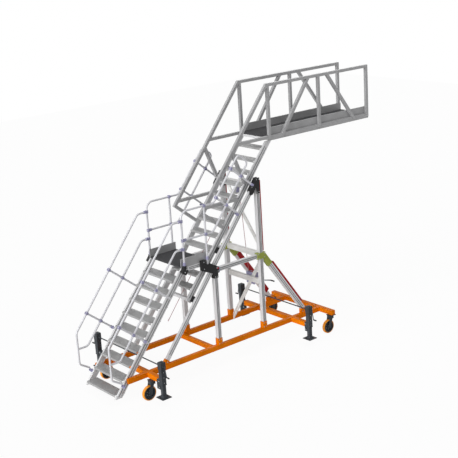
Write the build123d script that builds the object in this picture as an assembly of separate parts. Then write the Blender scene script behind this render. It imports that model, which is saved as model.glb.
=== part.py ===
from build123d import *
import math
import os

# Wing access stand: a wheeled chassis carries a fixed stair, a landing and two sloping guides,
# and a second stair with a cantilever walkway slides up and down between the guides.
# Millimetres. +X is the way a person climbs, +Z is up, the ground is z = 0, and the stand is
# the same on both sides of y = 0 apart from the winch, the rope and the two crossing braces.
# Lengths along X count from the tip of the fixed stair; place() moves them to the middle.
# A point of the stair slope is given by u, along the slope, and v, square to it and upwards.

# Slope shared by both stairs and the guides
stair_angle = 50.65

# Chassis of welded square tube
rail_top = 495
tube_height = 100
rail_width = 80
beam_width = 100
frame_y = 538
rail_front_x = 295
front_beam_x = 779
mid_tie_x = 2410
mid_tie_width = 70
jack_beam_x = 4581
rear_beam_x = 5409
front_beam_reach = 943
jack_beam_reach = 977
rear_beam_reach = 963
socket_height = 140
socket_wall = 8

# Casters
wheel_diameter = 300
wheel_width = 65
hub_diameter = 210
wheel_bore_gap = 0.05
caster_trail = 100
axle_diameter = 24
front_caster = (735, 725)
rear_caster = (5400, 900)
caster_plate = 150
plate_thickness = 12
swivel_gap = 0.3
fork_wall = 8
fork_side_gap = 6
crown_gap = 14

# Jacks at the ends of the front beam and the jack beam
front_jack = (717, 1091)
rear_jack = (4570, 1081)
jack_top = 860
jack_head = 110
jack_head_height = 140
jack_tube = 96
jack_tube_bottom = 400
jack_wall = 10
leg_gap = 0.3
leg_clearance = 5
jack_foot_z = 144
jack_foot = 215
jack_foot_thickness = 12
jack_bracket_bottom = 300
jack_bracket_length = 70
jack_shaft_diameter = 24
jack_shaft_drop = 75
crank_rod = 18
crank_throw = 190
crank_offset = 40
crank_handle = 90

# Posts, guides and braces
post_depth = 90
post_width = 80
mid_post_x = 2563
rear_post_x = 3778
mid_post_top = 2020
rear_post_top = 3660
guide_width = 50
guide_depth = 90
guide_offset = -594
guide_foot_rise = 40
guide_top_z = 3600
strut_z = 2078
strut_depth = 90
strut_width = 60
joint_length = 120
joint_height = 130
brace_angle = 54.3
brace_start_x = 3945
brace_start_z = 1934
brace_foot_z = 560
brace_depth = 110
brace_width = 50
guard_thickness = 12
guard_width = 40
upper_cross_z = 2095
upper_cross_height = 120
lower_cross_z = 1500
lower_cross_height = 110
cross_thickness = 50
diagonal_width = 80
diagonal_thickness = 20
top_cross_z = 3560
top_cross_size = 50
bracket_wall = 8
bracket_front = 170
bracket_rise = 60
bracket_nose = 34
bracket_skirt = 100
bracket_lug = 100
bracket_lug_back = 200
bracket_outer_y = 590
bracket_setback = 5
bracket_height = 260

# Fixed stair
stair_half_width = 519
stringer_width = 40
stringer_depth = 120
stair_front_v = 96
stair_foot_z = 152
fixed_steps = 10
landing_z = 2344
tread_depth = 240
tread_height = 40
tread_nose = 60

# Landing
landing_front_x = 1768
landing_rear_x = 2420
deck_thickness = 30
deck_beam_height = 90
deck_beam_width = 40
rear_beam_setback = 90
bracket_length = 110
toe_height = 150
toe_thickness = 20

# Sliding stair
side_y = 419
sliding_width = 40
sliding_depth = 120
sliding_v = -512
sliding_foot_u = 2430
sliding_rise = 223
sliding_treads = 12
sliding_tread_depth = 210
sliding_nose = 40
foot_bar = 60
foot_bar_rise = 60
slider_length = 120
slider_height = 60
slider_gap = 0.3
slider_lap = 15
lower_slider_u = 2520
upper_slider_u = 3605

# Walkway and its side frames
walkway_z = 4480
walkway_front_x = 4230
walkway_end_x = 7204
edge_height = 105
edge_thickness = 50
handrail_top = 5537
knee_x = 4290
frame_tube = 60
frame_v = 199
lower_corner_u = 4060
lower_member_rise = 80
steep_brace_top_z = 4310
steep_brace_foot_x = 3560
upright_x = 5716
brace_one = (4613, 5434)
brace_two = (6783, 5964)

# Handrails of round tube
tube_diameter = 40
hand_y = 560
clamp_diameter = 60
clamp_length = 55
stair_hand_front = -65
hand_v = 836
knee_v = 452
hand_end_z = 3256
hand_low_z = 585
hand_return = 215
knee_end_z = 2699
knee_low_z = 905
hand_post_u = (1348, 2293)
landing_post_x = 1816
rear_hand_post_x = 2385
landing_hand_z = 3444
landing_knee_z = 2872
post_foot_z = 2240
guide_post_u = (4448, 5098)
loop_hand_v = 150
loop_knee_v = -167
loop_top_u = 5420
post_clamp = 70

# Winch, sheave and rope
drum_diameter = 120
drum_flange = 160
drum_length = 150
flange_thickness = 12
winch_x = 3907
winch_y = -130
winch_z = 1530
winch_plate = 10
gearbox_size = 130
gearbox_length = 70
winch_crank_y = -330
winch_crank_reach = 380
winch_crank_rise = 50
sheave_x = 3695
sheave_z = 3390
sheave_diameter = 140
sheave_width = 30
sheave_gap = 2
sheave_cheek = 8
sheave_pin = 20
rope_diameter = 12
rope_seat = 0.5
rope_drum_y = -78
rope_tail_u = 1930

# Worked out from the sizes above
slope_cos = math.cos(math.radians(stair_angle))
slope_sin = math.sin(math.radians(stair_angle))
middle_x = (stair_hand_front - tube_diameter / 2 + walkway_end_x) / 2
rail_inner = frame_y - rail_width / 2
rail_outer = frame_y + rail_width / 2
rail_bottom = rail_top - tube_height
jack_leg = jack_tube - 2 * jack_wall - 2 * leg_gap
sleeve_inner = frame_y - post_width / 2 - socket_wall
side_inner = side_y - sliding_width / 2
frame_side_y = side_inner + frame_tube / 2
hand_inner = hand_y - tube_diameter / 2
sides = (-1, 1)


def place(shape):
    """Move a shape from stair-tip lengths to the stand's own origin."""
    return Pos(-middle_x, 0, 0) * shape


def on_slope(u, v, y=0):
    """Point u along the slope and v square to it, in the plane of that y."""
    return (u * slope_cos - v * slope_sin, y, u * slope_sin + v * slope_cos)


def slope_x(v, z):
    """Where the sloping line of offset v reaches height z, along X."""
    return (z * slope_cos - v) / slope_sin


def slope_u(v, z):
    """Where the sloping line of offset v reaches height z, along the slope."""
    return (z - v * slope_cos) / slope_sin


def block(x, y, z, length, width, height):
    """Box by its middle."""
    return Pos(x, y, z) * Box(length, width, height)


def bar(start, end, width, depth):
    """Straight bar between two points of one plane of constant y; width lies along Y."""
    run = Vector(*end) - Vector(*start)
    section = Plane(origin=start, x_dir=(0, 1, 0), z_dir=run) * Rectangle(width, depth)
    return extrude(section, run.length)


def grooved_bar(start, end, width, depth, grooves=3, mouth=10, groove_depth=5):
    """Extruded profile between two points, with grooves along both of its side faces."""
    run = Vector(*end) - Vector(*start)
    outline = Rectangle(width, depth)
    pitch = depth / (grooves + 1)
    for row in range(grooves):
        for side in sides:
            outline -= Pos(side * width / 2, (row + 1) * pitch - depth / 2) * Rectangle(2 * groove_depth, mouth)
    return extrude(Plane(origin=start, x_dir=(0, 1, 0), z_dir=run) * outline, run.length)


def rod(x, y, z, diameter, length):
    """Round bar along Y by its middle."""
    return Pos(x, y, z) * Rot(90, 0, 0) * Cylinder(diameter / 2, length)


def round_bar(start, end, diameter):
    """Straight round bar between two points."""
    run = Vector(*end) - Vector(*start)
    return extrude(Plane(origin=start, z_dir=run) * Circle(diameter / 2), run.length)


def round_tube(points, radii, diameter):
    """Bent round tube along points, with one bend radius for each inner point."""
    path = FilletPolyline(*points, radius=radii)
    return sweep(Plane(origin=path @ 0, z_dir=path % 0) * Circle(diameter / 2), path=path)


def save(name, *shapes):
    """Write one node, each of its pieces a solid of its own."""
    solids = [place(solid) for shape in shapes for solid in shape.solids()]
    export_step(solids[0] if len(solids) == 1 else Compound(children=solids), f"parts/{name}.step")


# Chassis

def chassis_rail(side):
    length = rear_beam_x - beam_width / 2 - rail_front_x
    rail = block(rail_front_x + length / 2, side * frame_y, rail_top - tube_height / 2, length, rail_width, tube_height)
    return rail - stringer_envelope(side)


def sockets(side):
    """Welded sockets on top of the rail: for both posts, the guide and the brace."""
    y = side * frame_y
    welded = []
    for x in (mid_post_x, rear_post_x):
        middle = rail_top + socket_height / 2
        socket = block(x, y, middle, post_depth + 2 * socket_wall, post_width + 2 * socket_wall, socket_height)
        welded.append(socket - block(x, y, middle, post_depth, post_width, 2 * socket_height))
    above = block(mid_post_x, y, rail_top + 500, 6000, 200, 1000)
    base = slope_u(guide_offset, rail_top)
    sleeve = bar(on_slope(base - 150, guide_offset, y), on_slope(base + 110, guide_offset, y),
                 guide_width + 2 * socket_wall, guide_depth + 2 * socket_wall) & above
    foot_u = slope_u(guide_offset, rail_top + guide_foot_rise)
    welded.append(sleeve - bar(on_slope(foot_u, guide_offset, y), on_slope(foot_u + 400, guide_offset, y), guide_width,
                               guide_depth))
    foot = block(brace_point(brace_foot_z), y, rail_top + 60, 200, brace_width + 2 * socket_wall, 120)
    passage = bar((brace_point(rail_top + 400), y, rail_top + 400), (brace_point(rail_top - 400), y, rail_top - 400),
                  brace_width, brace_depth)
    welded.append(foot - passage)
    return welded


def cross_beam(x, width, reach):
    """Beam across the rails in one to three lengths: between them, and a stub on each outer side."""
    z = rail_top - tube_height / 2
    pieces = [block(x, 0, z, width, 2 * rail_inner, tube_height)]
    stub = reach - rail_outer
    if stub > 0:
        pieces += [block(x, side * (rail_outer + stub / 2), z, width, stub, tube_height) for side in sides]
    return pieces


def rear_beam():
    return block(rear_beam_x, 0, rail_top - tube_height / 2, beam_width, 2 * rear_beam_reach, tube_height)


# Support frame

def upright(side, x, top):
    y = side * frame_y
    return grooved_bar((x, y, rail_top), (x, y, top), post_width, post_depth)


def guide(side):
    y = side * frame_y
    foot = slope_u(guide_offset, rail_top + guide_foot_rise)
    top = slope_u(guide_offset, guide_top_z)
    trim = block(rear_post_x - post_depth / 2 - 1000, y, 2000, 2000, 200, 6000)
    return grooved_bar(on_slope(foot, guide_offset, y), on_slope(top, guide_offset, y), guide_width, guide_depth) & trim


def plate(points, y, width):
    """Flat piece with an outline of (x, z) points, centred on y."""
    face = Plane(origin=(0, y + width / 2, 0), x_dir=(1, 0, 0), z_dir=(0, -1, 0)) * make_face(Polyline(*points, close=True))
    return extrude(face, width)


def mid_bracket(side):
    """Casting that ties the mid post, the guide, the strut and the landing's rear end together."""
    inner = frame_y - guide_width / 2 + bracket_setback
    width = bracket_outer_y - inner
    right = mid_post_x + post_depth / 2 + bracket_nose
    left = landing_rear_x - bracket_lug_back
    top = strut_z + strut_depth / 2 + bracket_wall
    arm_top = post_foot_z + 2 * bracket_wall
    outline = [(right, top), (right, mid_post_top), (mid_post_x - post_depth / 2 - bracket_wall, mid_post_top),
               (left, arm_top - bracket_lug), (left, arm_top + bracket_lug), (left + bracket_lug, arm_top + bracket_lug),
               (left + bracket_lug, arm_top), (rear_hand_post_x + clamp_diameter, arm_top)]
    casting = plate(outline, side * (inner + width / 2), width)
    casting += block(mid_post_x, side * frame_y, mid_post_top - bracket_skirt / 2, post_depth + 2 * bracket_wall,
                     post_width + 2 * bracket_wall, bracket_skirt)
    casting -= block(mid_post_x, side * frame_y, mid_post_top - bracket_skirt, post_depth, post_width, 2 * bracket_skirt)
    casting -= bar(on_slope(1500, guide_offset, side * frame_y), on_slope(4500, guide_offset, side * frame_y),
                   guide_width, guide_depth)
    beside = block(landing_rear_x - bracket_lug_back, 0, landing_z, 2 * bracket_lug_back, 2 * stair_half_width, 400)
    y = side * hand_y
    post = round_bar((rear_hand_post_x, y, post_foot_z), (rear_hand_post_x, y, landing_z), tube_diameter)
    return casting - beside - post


def top_bracket(side):
    """Casting that holds the guide's head to the rear post."""
    y = side * frame_y
    back = rear_post_x + post_depth / 2
    low = rear_post_top - bracket_height
    casting = block(back - (post_depth + bracket_front) / 2, y, rear_post_top - bracket_height / 2 + bracket_rise / 2,
                    post_depth + bracket_front, post_width + 2 * bracket_wall, bracket_height + bracket_rise)
    casting &= on_guide(low, rear_post_top + bracket_rise, y)
    casting -= block(rear_post_x, y, rear_post_top - bracket_height, post_depth, post_width, 2 * bracket_height)
    passage = bar(on_slope(4000, guide_offset, y), on_slope(5500, guide_offset, y), guide_width, guide_depth)
    return casting - passage


def on_guide(low, high, y):
    """Band along the guide and down to the post, between two heights, that bounds the head casting."""
    reach = guide_depth / 2 + bracket_wall
    along = bar(on_slope(slope_u(guide_offset, low) - 100, guide_offset, y),
                on_slope(slope_u(guide_offset, high) + 40, guide_offset, y), post_width + 4 * bracket_wall, 2 * reach)
    post = block(rear_post_x, y, (low + high) / 2, post_depth, post_width + 4 * bracket_wall, high - low)
    return along + post


def strut(side):
    y = side * frame_y
    start = mid_post_x + post_depth / 2 + bracket_nose
    end = rear_post_x - post_depth / 2 - joint_length / 2
    return grooved_bar((start, y, strut_z), (end, y, strut_z), strut_width, strut_depth)


def post_joint(side):
    """Sleeve round the rear post, with a shoe for the strut in front and one for the brace behind."""
    y = side * frame_y
    length = post_depth + joint_length
    sleeve = block(rear_post_x, y, strut_z, length, post_width + 16, joint_height)
    return sleeve - block(rear_post_x, y, strut_z, post_depth, post_width, 2 * joint_height)


def brace_point(z):
    """Where the middle line of the rear brace is at height z, along X."""
    return brace_start_x + (brace_start_z - z) / math.tan(math.radians(brace_angle))


def rear_brace(side):
    y = side * frame_y
    low = rail_top + 10
    long = bar((brace_point(brace_start_z + 150), y, brace_start_z + 150), (brace_point(low - 150), y, low - 150),
               brace_width, brace_depth)
    back = rear_post_x + (post_depth + joint_length) / 2
    keep = block(back + 1000, y, low + 1000, 2000, 200, 2000)
    return long & keep


def guard_strips():
    """Red strips that cover the rear posts and the rear braces where an aircraft could touch them."""
    strips = []
    for side in sides:
        y = side * frame_y
        back = rear_post_x + post_depth / 2 + guard_thickness / 2
        low = strut_z + joint_height / 2 + 10
        strips.append(block(back, y, (low + rear_post_top) / 2, guard_thickness, guard_width, rear_post_top - low))
        square = (brace_depth + guard_thickness) / 2
        dx = square * math.sin(math.radians(brace_angle))
        dz = square * math.cos(math.radians(brace_angle))
        top, foot = brace_start_z - 40, rail_top + 150
        strips.append(bar((brace_point(top) + dx, y, top + dz), (brace_point(foot) + dx, y, foot + dz),
                          guard_width, guard_thickness))
    return strips


def rear_crosses():
    """Level tubes between the two rear posts."""
    span = 2 * (frame_y - post_width / 2)
    between_sleeves = 2 * sleeve_inner
    return [block(rear_post_x, 0, upper_cross_z, cross_thickness, between_sleeves, upper_cross_height),
            block(rear_post_x, 0, lower_cross_z, cross_thickness, span, lower_cross_height),
            block(rear_post_x, 0, top_cross_z, top_cross_size, between_sleeves, top_cross_size)]


def flat_bar_across(x, start, end, width, thickness):
    """Flat bar between two (y, z) points, square to X."""
    run = Vector(0, end[0] - start[0], end[1] - start[1])
    section = Plane(origin=(x, start[0], start[1]), x_dir=(1, 0, 0), z_dir=run) * Rectangle(thickness, width)
    return extrude(section, run.length)


def rear_diagonals():
    """One flat bar up and one down, from the near joint to the far post, behind the cross tubes."""
    x = rear_post_x + cross_thickness / 2 + diagonal_thickness / 2
    post_face = frame_y - post_width / 2
    up = flat_bar_across(x, (-frame_y, strut_z + 140), (frame_y, rear_post_top - 60), diagonal_width,
                         diagonal_thickness)
    up &= block(x, (sleeve_inner - post_face) / 2, 3000, diagonal_thickness, sleeve_inner + post_face, 4000)
    down = flat_bar_across(x, (-frame_y, strut_z - 80), (frame_y, rail_bottom), diagonal_width, diagonal_thickness)
    down &= block(x, 0, rail_bottom + 1000, diagonal_thickness, 2 * post_face, 2000)
    socket = block(rear_post_x, frame_y, rail_top + socket_height / 2, 2 * post_depth, 2 * (frame_y - sleeve_inner),
                   socket_height)
    return [up, down - socket]


# Fixed stair

def stringer_envelope(side):
    """Space that the fixed stringer takes where it runs into the rail's front end."""
    y = side * (stair_half_width - stringer_width / 2)
    v = stair_front_v - stringer_depth / 2
    return bar(on_slope(0, v, y), on_slope(1200, v, y), stringer_width, stringer_depth)


def fixed_stringer(side):
    y = side * (stair_half_width - stringer_width / 2)
    v = stair_front_v - stringer_depth / 2
    low, high = stair_foot_z, landing_z - deck_thickness
    profile = grooved_bar(on_slope(slope_u(v, low) - 200, v, y), on_slope(slope_u(v, high) + 200, v, y),
                          stringer_width, stringer_depth)
    return profile & block(1000, y, (low + high) / 2, 6000, 200, high - low)


def tread(front_x, top_z, half_width, depth):
    return block(front_x + depth / 2, 0, top_z - tread_height / 2, depth, 2 * half_width, tread_height)


def fixed_treads():
    rise = landing_z / fixed_steps
    half = stair_half_width - stringer_width
    return [tread(slope_x(stair_front_v, step * rise) - tread_nose, step * rise, half, tread_depth)
            for step in range(1, fixed_steps)]


# Landing

def landing_deck():
    length = landing_rear_x - landing_front_x
    middle = landing_front_x + length / 2
    return block(middle, 0, landing_z - deck_thickness / 2, length, 2 * (stair_half_width - toe_thickness),
                 deck_thickness)


def toe_board(side):
    length = landing_rear_x - landing_front_x
    return block(landing_front_x + length / 2, side * (stair_half_width - toe_thickness / 2),
                 landing_z + (toe_height - deck_thickness) / 2, length, toe_thickness, toe_height + deck_thickness)


def landing_beams():
    """Side beams under the landing, and a cross beam near its front and its rear edge."""
    z = landing_z - deck_thickness - deck_beam_height / 2
    rear_v = stair_front_v - stringer_depth
    front = slope_x(rear_v, landing_z - deck_thickness)
    length = landing_rear_x - front
    y = stair_half_width - deck_beam_width / 2
    beams = [block(front + length / 2, side * y, z, length, deck_beam_width, deck_beam_height) for side in sides]
    half = stair_half_width - deck_beam_width
    beams += [block(x, 0, z, deck_beam_width, 2 * half, deck_beam_height)
              for x in (front + deck_beam_width, landing_rear_x - rear_beam_setback)]
    return beams


def landing_bracket(side):
    """Casting on the outer face of the stringer's head, with the foot socket of the landing post."""
    y = side * hand_y
    width = 2 * (hand_y - stair_half_width)
    v = stair_front_v - stringer_depth / 2
    head = slope_u(v, landing_z - deck_thickness) - 20
    casting = bar(on_slope(head - bracket_length, v, y), on_slope(head, v, y), width, stringer_depth)
    casting += block(landing_post_x, y, post_foot_z + 60, clamp_diameter, clamp_diameter, 140)
    return casting - round_bar((landing_post_x, y, post_foot_z), (landing_post_x, y, landing_z + 100), tube_diameter)


# Sliding stair

def sliding_stringer(side):
    y = side * side_y
    high = walkway_z - edge_height
    profile = grooved_bar(on_slope(sliding_foot_u, sliding_v, y), on_slope(slope_u(sliding_v, high) + 200, sliding_v, y),
                          sliding_width, sliding_depth)
    return profile & block(3000, y, high - 3000, 8000, 200, 6000)


def sliding_envelope(side):
    """Space that the sliding stringer takes, its side grooves filled."""
    y = side * side_y
    return bar(on_slope(sliding_foot_u, sliding_v, y), on_slope(slope_u(sliding_v, walkway_z), sliding_v, y),
               sliding_width, sliding_depth)


def sliding_tread_set():
    half = side_inner
    front_v = sliding_v + sliding_depth / 2
    treads = []
    for step in range(1, sliding_treads + 1):
        z = walkway_z - step * sliding_rise
        treads.append(tread(slope_x(front_v, z) - sliding_nose, z, half, sliding_tread_depth))
    return treads


def foot_cross():
    """Tube between the lower ends of the sliding stringers, which the rope pulls on."""
    x, _, z = on_slope(sliding_foot_u + foot_bar_rise, sliding_v - 20)
    return block(x, 0, z, foot_bar, 2 * side_inner, foot_bar)


def sliders():
    """Blocks on the outer faces of the sliding stringers, which run beside the guides."""
    inner = side_y + sliding_width / 2
    outer = frame_y - guide_width / 2 - slider_gap
    width = outer - inner
    v = guide_offset + guide_depth / 2 - slider_lap
    return [bar(on_slope(u - slider_length / 2, v, side * (inner + width / 2)),
                on_slope(u + slider_length / 2, v, side * (inner + width / 2)), width, slider_height)
            for side in sides for u in (lower_slider_u, upper_slider_u)]


# Walkway

def side_frame(side):
    y = side * frame_side_y
    half = frame_tube / 2
    rail_z = handrail_top - half
    front_v = sliding_v + sliding_depth / 2
    corner = on_slope(lower_corner_u, frame_v, y)
    knee_point = (slope_x(frame_v, rail_z), y, rail_z)
    foot_z = walkway_z - edge_height
    frame = bar(on_slope(lower_corner_u - half, frame_v, y), knee_point, frame_tube, frame_tube)
    frame += rod(knee_point[0], y, rail_z, frame_tube, frame_tube)
    frame += bar(knee_point, (walkway_end_x, y, rail_z), frame_tube, frame_tube)
    frame += bar(corner, on_slope(lower_corner_u, front_v, y), frame_tube, frame_tube)
    for level in (corner[2] + lower_member_rise, walkway_z - half):
        frame += bar((slope_x(frame_v, level), y, level), (slope_x(front_v, level) + half, y, level),
                     frame_tube, frame_tube)
    frame += bar((slope_x(frame_v, steep_brace_top_z), y, steep_brace_top_z),
                 (steep_brace_foot_x, y, (front_v + steep_brace_foot_x * slope_sin) / slope_cos),
                 frame_tube, frame_tube)
    uprights = [(knee_x, knee_x), (upright_x, upright_x), (walkway_end_x - half, walkway_end_x - half),
                brace_one, brace_two]
    for foot_x, head_x in uprights:
        frame += bar((foot_x, y, foot_z + half), (head_x, y, rail_z), frame_tube, frame_tube)
    beam = block((walkway_front_x + walkway_end_x) / 2, side * (side_inner + edge_thickness / 2),
                 walkway_z - edge_height / 2, walkway_end_x - walkway_front_x, edge_thickness, edge_height)
    return (frame + beam) - sliding_envelope(side)


def walkway_deck():
    length = walkway_end_x - walkway_front_x
    half = side_inner - toe_thickness
    return block(walkway_front_x + length / 2, 0, walkway_z - deck_thickness / 2, length, 2 * half, deck_thickness)


def walkway_toe(side):
    length = walkway_end_x - walkway_front_x - 100
    y = side * (side_inner - toe_thickness / 2)
    return block(walkway_front_x + 100 + length / 2, y, walkway_z + (toe_height - deck_thickness) / 2, length,
                 toe_thickness, toe_height + deck_thickness)


def walkway_crosses():
    """Cross tubes under the walkway deck, the first one at the head of the sliding stair."""
    half = side_inner
    z = walkway_z - edge_height + 25
    return [block(x, 0, z, 50, 2 * half, 50) for x in (4300, 5000, 5716, 6430, 7150)]


# Handrails

def stair_handrail(side):
    """Hand rail and knee rail of one side, on two posts square to the stringer."""
    y = side * hand_y
    front = stair_hand_front
    end = landing_post_x - tube_diameter / 2
    top = round_tube([(end, y, hand_end_z), (slope_x(hand_v, hand_end_z), y, hand_end_z),
                      (front, y, (hand_v + front * slope_sin) / slope_cos), (front, y, hand_low_z),
                      (front + hand_return, y, hand_low_z - hand_return * slope_cos)],
                     [120, 120, 60], tube_diameter)
    knee = round_tube([(end, y, knee_end_z), (slope_x(knee_v, knee_end_z), y, knee_end_z),
                       (slope_x(knee_v, knee_low_z), y, knee_low_z), (front, y, knee_low_z)],
                      [120, 120], tube_diameter)
    rails = top + knee
    for u in hand_post_u:
        rails += round_bar(on_slope(u, stair_front_v - stringer_depth / 2, y), on_slope(u, hand_v, y), tube_diameter)
    return rails


def landing_handrail(side):
    """Looped rail from the landing's front post up along the guide and back as the knee rail."""
    y = side * hand_y
    rail = round_tube([(landing_post_x, y, post_foot_z), (landing_post_x, y, landing_hand_z),
                       (slope_x(loop_hand_v, landing_hand_z), y, landing_hand_z), on_slope(loop_top_u, loop_hand_v, y),
                       on_slope(loop_top_u, loop_knee_v, y), (slope_x(loop_knee_v, landing_knee_z), y, landing_knee_z),
                       (landing_post_x + tube_diameter / 2, y, landing_knee_z)],
                      [150, 120, 90, 90, 120], tube_diameter)
    rail += round_bar((rear_hand_post_x, y, post_foot_z), (rear_hand_post_x, y, landing_hand_z), tube_diameter)
    for u in guide_post_u:
        rail += round_bar(on_slope(u, guide_offset + guide_depth / 2, y), on_slope(u, loop_hand_v, y), tube_diameter)
    return rail - top_bracket(side)


def collar(point, along):
    """Short round sleeve with its middle at a point, its bore along one direction."""
    start = Vector(*point) - Vector(*along) * (clamp_length / 2)
    end = Vector(*point) + Vector(*along) * (clamp_length / 2)
    return round_bar(start, end, clamp_diameter)


def handrail_clamps(side):
    """Clamps where the rails of the stair and of the landing meet their posts."""
    y = side * hand_y
    level, upright_way = (1, 0, 0), (0, 0, 1)
    up_slope, square_up = (slope_cos, 0, slope_sin), (-slope_sin, 0, slope_cos)
    joints = [((landing_post_x, y, z), upright_way, level, -1) for z in (hand_end_z, knee_end_z)]
    joints += [((landing_post_x, y, landing_knee_z), upright_way, level, 1)]
    joints += [((rear_hand_post_x, y, z), upright_way, level, 0) for z in (landing_knee_z, landing_hand_z)]
    joints += [(on_slope(u, v, y), square_up, up_slope, 0) for u in guide_post_u for v in (loop_knee_v, loop_hand_v)]
    joints += [(on_slope(u, v, y), square_up, up_slope, 0) for u in hand_post_u for v in (knee_v, hand_v)]
    clamps = []
    for point, post_way, rail_way, arm_side in joints:
        arm = Vector(*point) + Vector(*rail_way) * (arm_side * (clamp_length + tube_diameter) / 2)
        clamp = collar(point, post_way) + collar(arm, rail_way)
        for way in (post_way, rail_way):
            reach = Vector(*way) * 200
            clamp -= round_bar(Vector(*point) - reach, Vector(*point) + reach, tube_diameter)
        clamps.append(clamp)
    return clamps


# Jacks

def jack_body(x, side_sign, y):
    inner = jack_tube - 2 * jack_wall
    height = jack_top - jack_head_height - jack_tube_bottom
    tube = block(x, y, jack_tube_bottom + height / 2, jack_tube, jack_tube, height)
    tube -= block(x, y, jack_tube_bottom + height / 2, inner, inner, height)
    head = block(x, y, jack_top - jack_head_height / 2, jack_head, jack_head, jack_head_height)
    return tube + head


def jack_shaft(x, reach):
    """Cross shaft that turns the jacks of both sides together."""
    return rod(x, 0, jack_top - jack_shaft_drop, jack_shaft_diameter, 2 * (reach - jack_head / 2))


def jack_crank(x, y, side):
    """Bent crank on the outer face of a jack's head."""
    z = jack_top - jack_shaft_drop
    face = y + side * jack_head / 2
    arm_y = face + side * crank_offset
    end_z = z - crank_throw
    crank = round_bar((x, face, z), (x, arm_y, z), crank_rod)
    crank += round_bar((x, arm_y, z + crank_rod / 2), (x, arm_y + side * crank_offset, end_z), crank_rod)
    return crank + rod(x, arm_y + side * (crank_offset + crank_handle / 2 - crank_rod / 2), end_z, crank_rod, crank_handle)


def jack_leg_solid(x, y):
    top = jack_top - jack_head_height - leg_clearance
    leg = block(x, y, (jack_foot_z + top) / 2, jack_leg, jack_leg, top - jack_foot_z)
    return leg + block(x, y, jack_foot_z + jack_foot_thickness / 2, jack_foot, jack_foot, jack_foot_thickness)


def jack_bracket(beam_x, reach, x, y, side):
    gap = y - jack_tube / 2 - reach
    height = rail_top - jack_bracket_bottom
    return block(x, side * (reach + gap / 2), jack_bracket_bottom + height / 2, jack_bracket_length, gap, height)


# Casters

def caster_plate_solid(x, y):
    return block(x, y, rail_bottom - plate_thickness / 2, caster_plate, caster_plate, plate_thickness)


def caster_fork(x, y):
    """Race, crown and two legs that trail back to the axle."""
    race_top = rail_bottom - plate_thickness - swivel_gap
    crown_z = wheel_diameter + crown_gap
    gap = wheel_width / 2 + fork_side_gap
    crown = block(x - caster_trail / 4, y, (crown_z + race_top) / 2, 110, 2 * (gap + fork_wall), race_top - crown_z)
    fork = crown
    below = block(x, y, race_top / 2, 4 * wheel_diameter, wheel_diameter, race_top)
    for side in sides:
        leg_y = y + side * (gap + fork_wall / 2)
        leg = bar((x - 15, leg_y, race_top + 40), (x - caster_trail, leg_y, wheel_diameter / 2 - 25), fork_wall, 80)
        fork += leg & below
    return fork + rod(x - caster_trail, y, wheel_diameter / 2, axle_diameter, 2 * (gap + fork_wall) + 10)


def wheel_hub(x, y):
    z = wheel_diameter / 2
    hub = rod(x - caster_trail, y, z, hub_diameter, wheel_width - 10)
    return hub - rod(x - caster_trail, y, z, axle_diameter + 2 * wheel_bore_gap, wheel_width)


def wheel_tyre(x, y):
    z = wheel_diameter / 2
    return (rod(x - caster_trail, y, z, wheel_diameter, wheel_width)
            - rod(x - caster_trail, y, z, hub_diameter, wheel_width + 2))


# Winch, sheave and rope

def winch_drum():
    drum = rod(winch_x, winch_y, winch_z, drum_diameter, drum_length)
    for side in sides:
        drum += rod(winch_x, winch_y + side * (drum_length - flange_thickness) / 2, winch_z, drum_flange,
                    flange_thickness)
    return drum


def winch_frame():
    """Base plate behind the lower cross tube, gearbox and end plate beside the drum, and the fixing block."""
    front = rear_post_x + cross_thickness / 2
    base_front = front + diagonal_thickness
    low = winch_y - drum_length / 2 - gearbox_length
    high = winch_y + drum_length / 2 + winch_plate
    frame = block(base_front + winch_plate / 2, (low + high) / 2, lower_cross_z, winch_plate, high - low,
                  lower_cross_height)
    depth = winch_x + drum_diameter / 2 - base_front
    for y, wide in ((low + gearbox_length / 2, gearbox_length), (high - winch_plate / 2, winch_plate)):
        frame += block(base_front + depth / 2, y, winch_z, depth, wide, gearbox_size)
    fixing = block(front + diagonal_thickness / 2, high - lower_cross_height / 4, lower_cross_z, diagonal_thickness,
                   lower_cross_height / 2, lower_cross_height)
    clear = rod(winch_x, winch_y, winch_z, drum_flange + 2 * rope_diameter, drum_length)
    return (frame + fixing) - clear


def winch_crank():
    start = winch_y - drum_length / 2 - gearbox_length
    corner = (winch_x + crank_offset, winch_crank_y, winch_z)
    crank = rod(winch_x + crank_offset, (start + winch_crank_y) / 2, winch_z, crank_rod, start - winch_crank_y)
    return crank + round_bar(corner, (corner[0], winch_crank_y - winch_crank_reach, winch_z + winch_crank_rise),
                             crank_rod)


def sheave():
    wheel = rod(sheave_x, 0, sheave_z, sheave_diameter + rope_diameter, sheave_width)
    groove = rod(sheave_x, 0, sheave_z, 2 * sheave_diameter, rope_diameter + 2 * rope_seat)
    wheel -= groove - rod(sheave_x, 0, sheave_z, sheave_diameter - 2 * rope_seat, sheave_width)
    return wheel - rod(sheave_x, 0, sheave_z, sheave_pin, 2 * sheave_width)


def sheave_bracket():
    """Two cheeks under the top cross tube, with the sheave's pin between them."""
    half = top_cross_size / 2
    top = top_cross_z - half
    boss = 2 * sheave_pin
    outline = [(rear_post_x + half, top), (rear_post_x + half, top - half), (sheave_x + boss, sheave_z - boss),
               (sheave_x - boss / 2, sheave_z - boss), (sheave_x - boss / 2, sheave_z), (rear_post_x - half, top)]
    bracket = rod(sheave_x, 0, sheave_z, sheave_pin, sheave_width + 2 * sheave_gap + 2 * sheave_cheek)
    for side in sides:
        bracket += plate(outline, side * (sheave_width / 2 + sheave_gap + sheave_cheek / 2), sheave_cheek)
    return bracket


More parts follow.
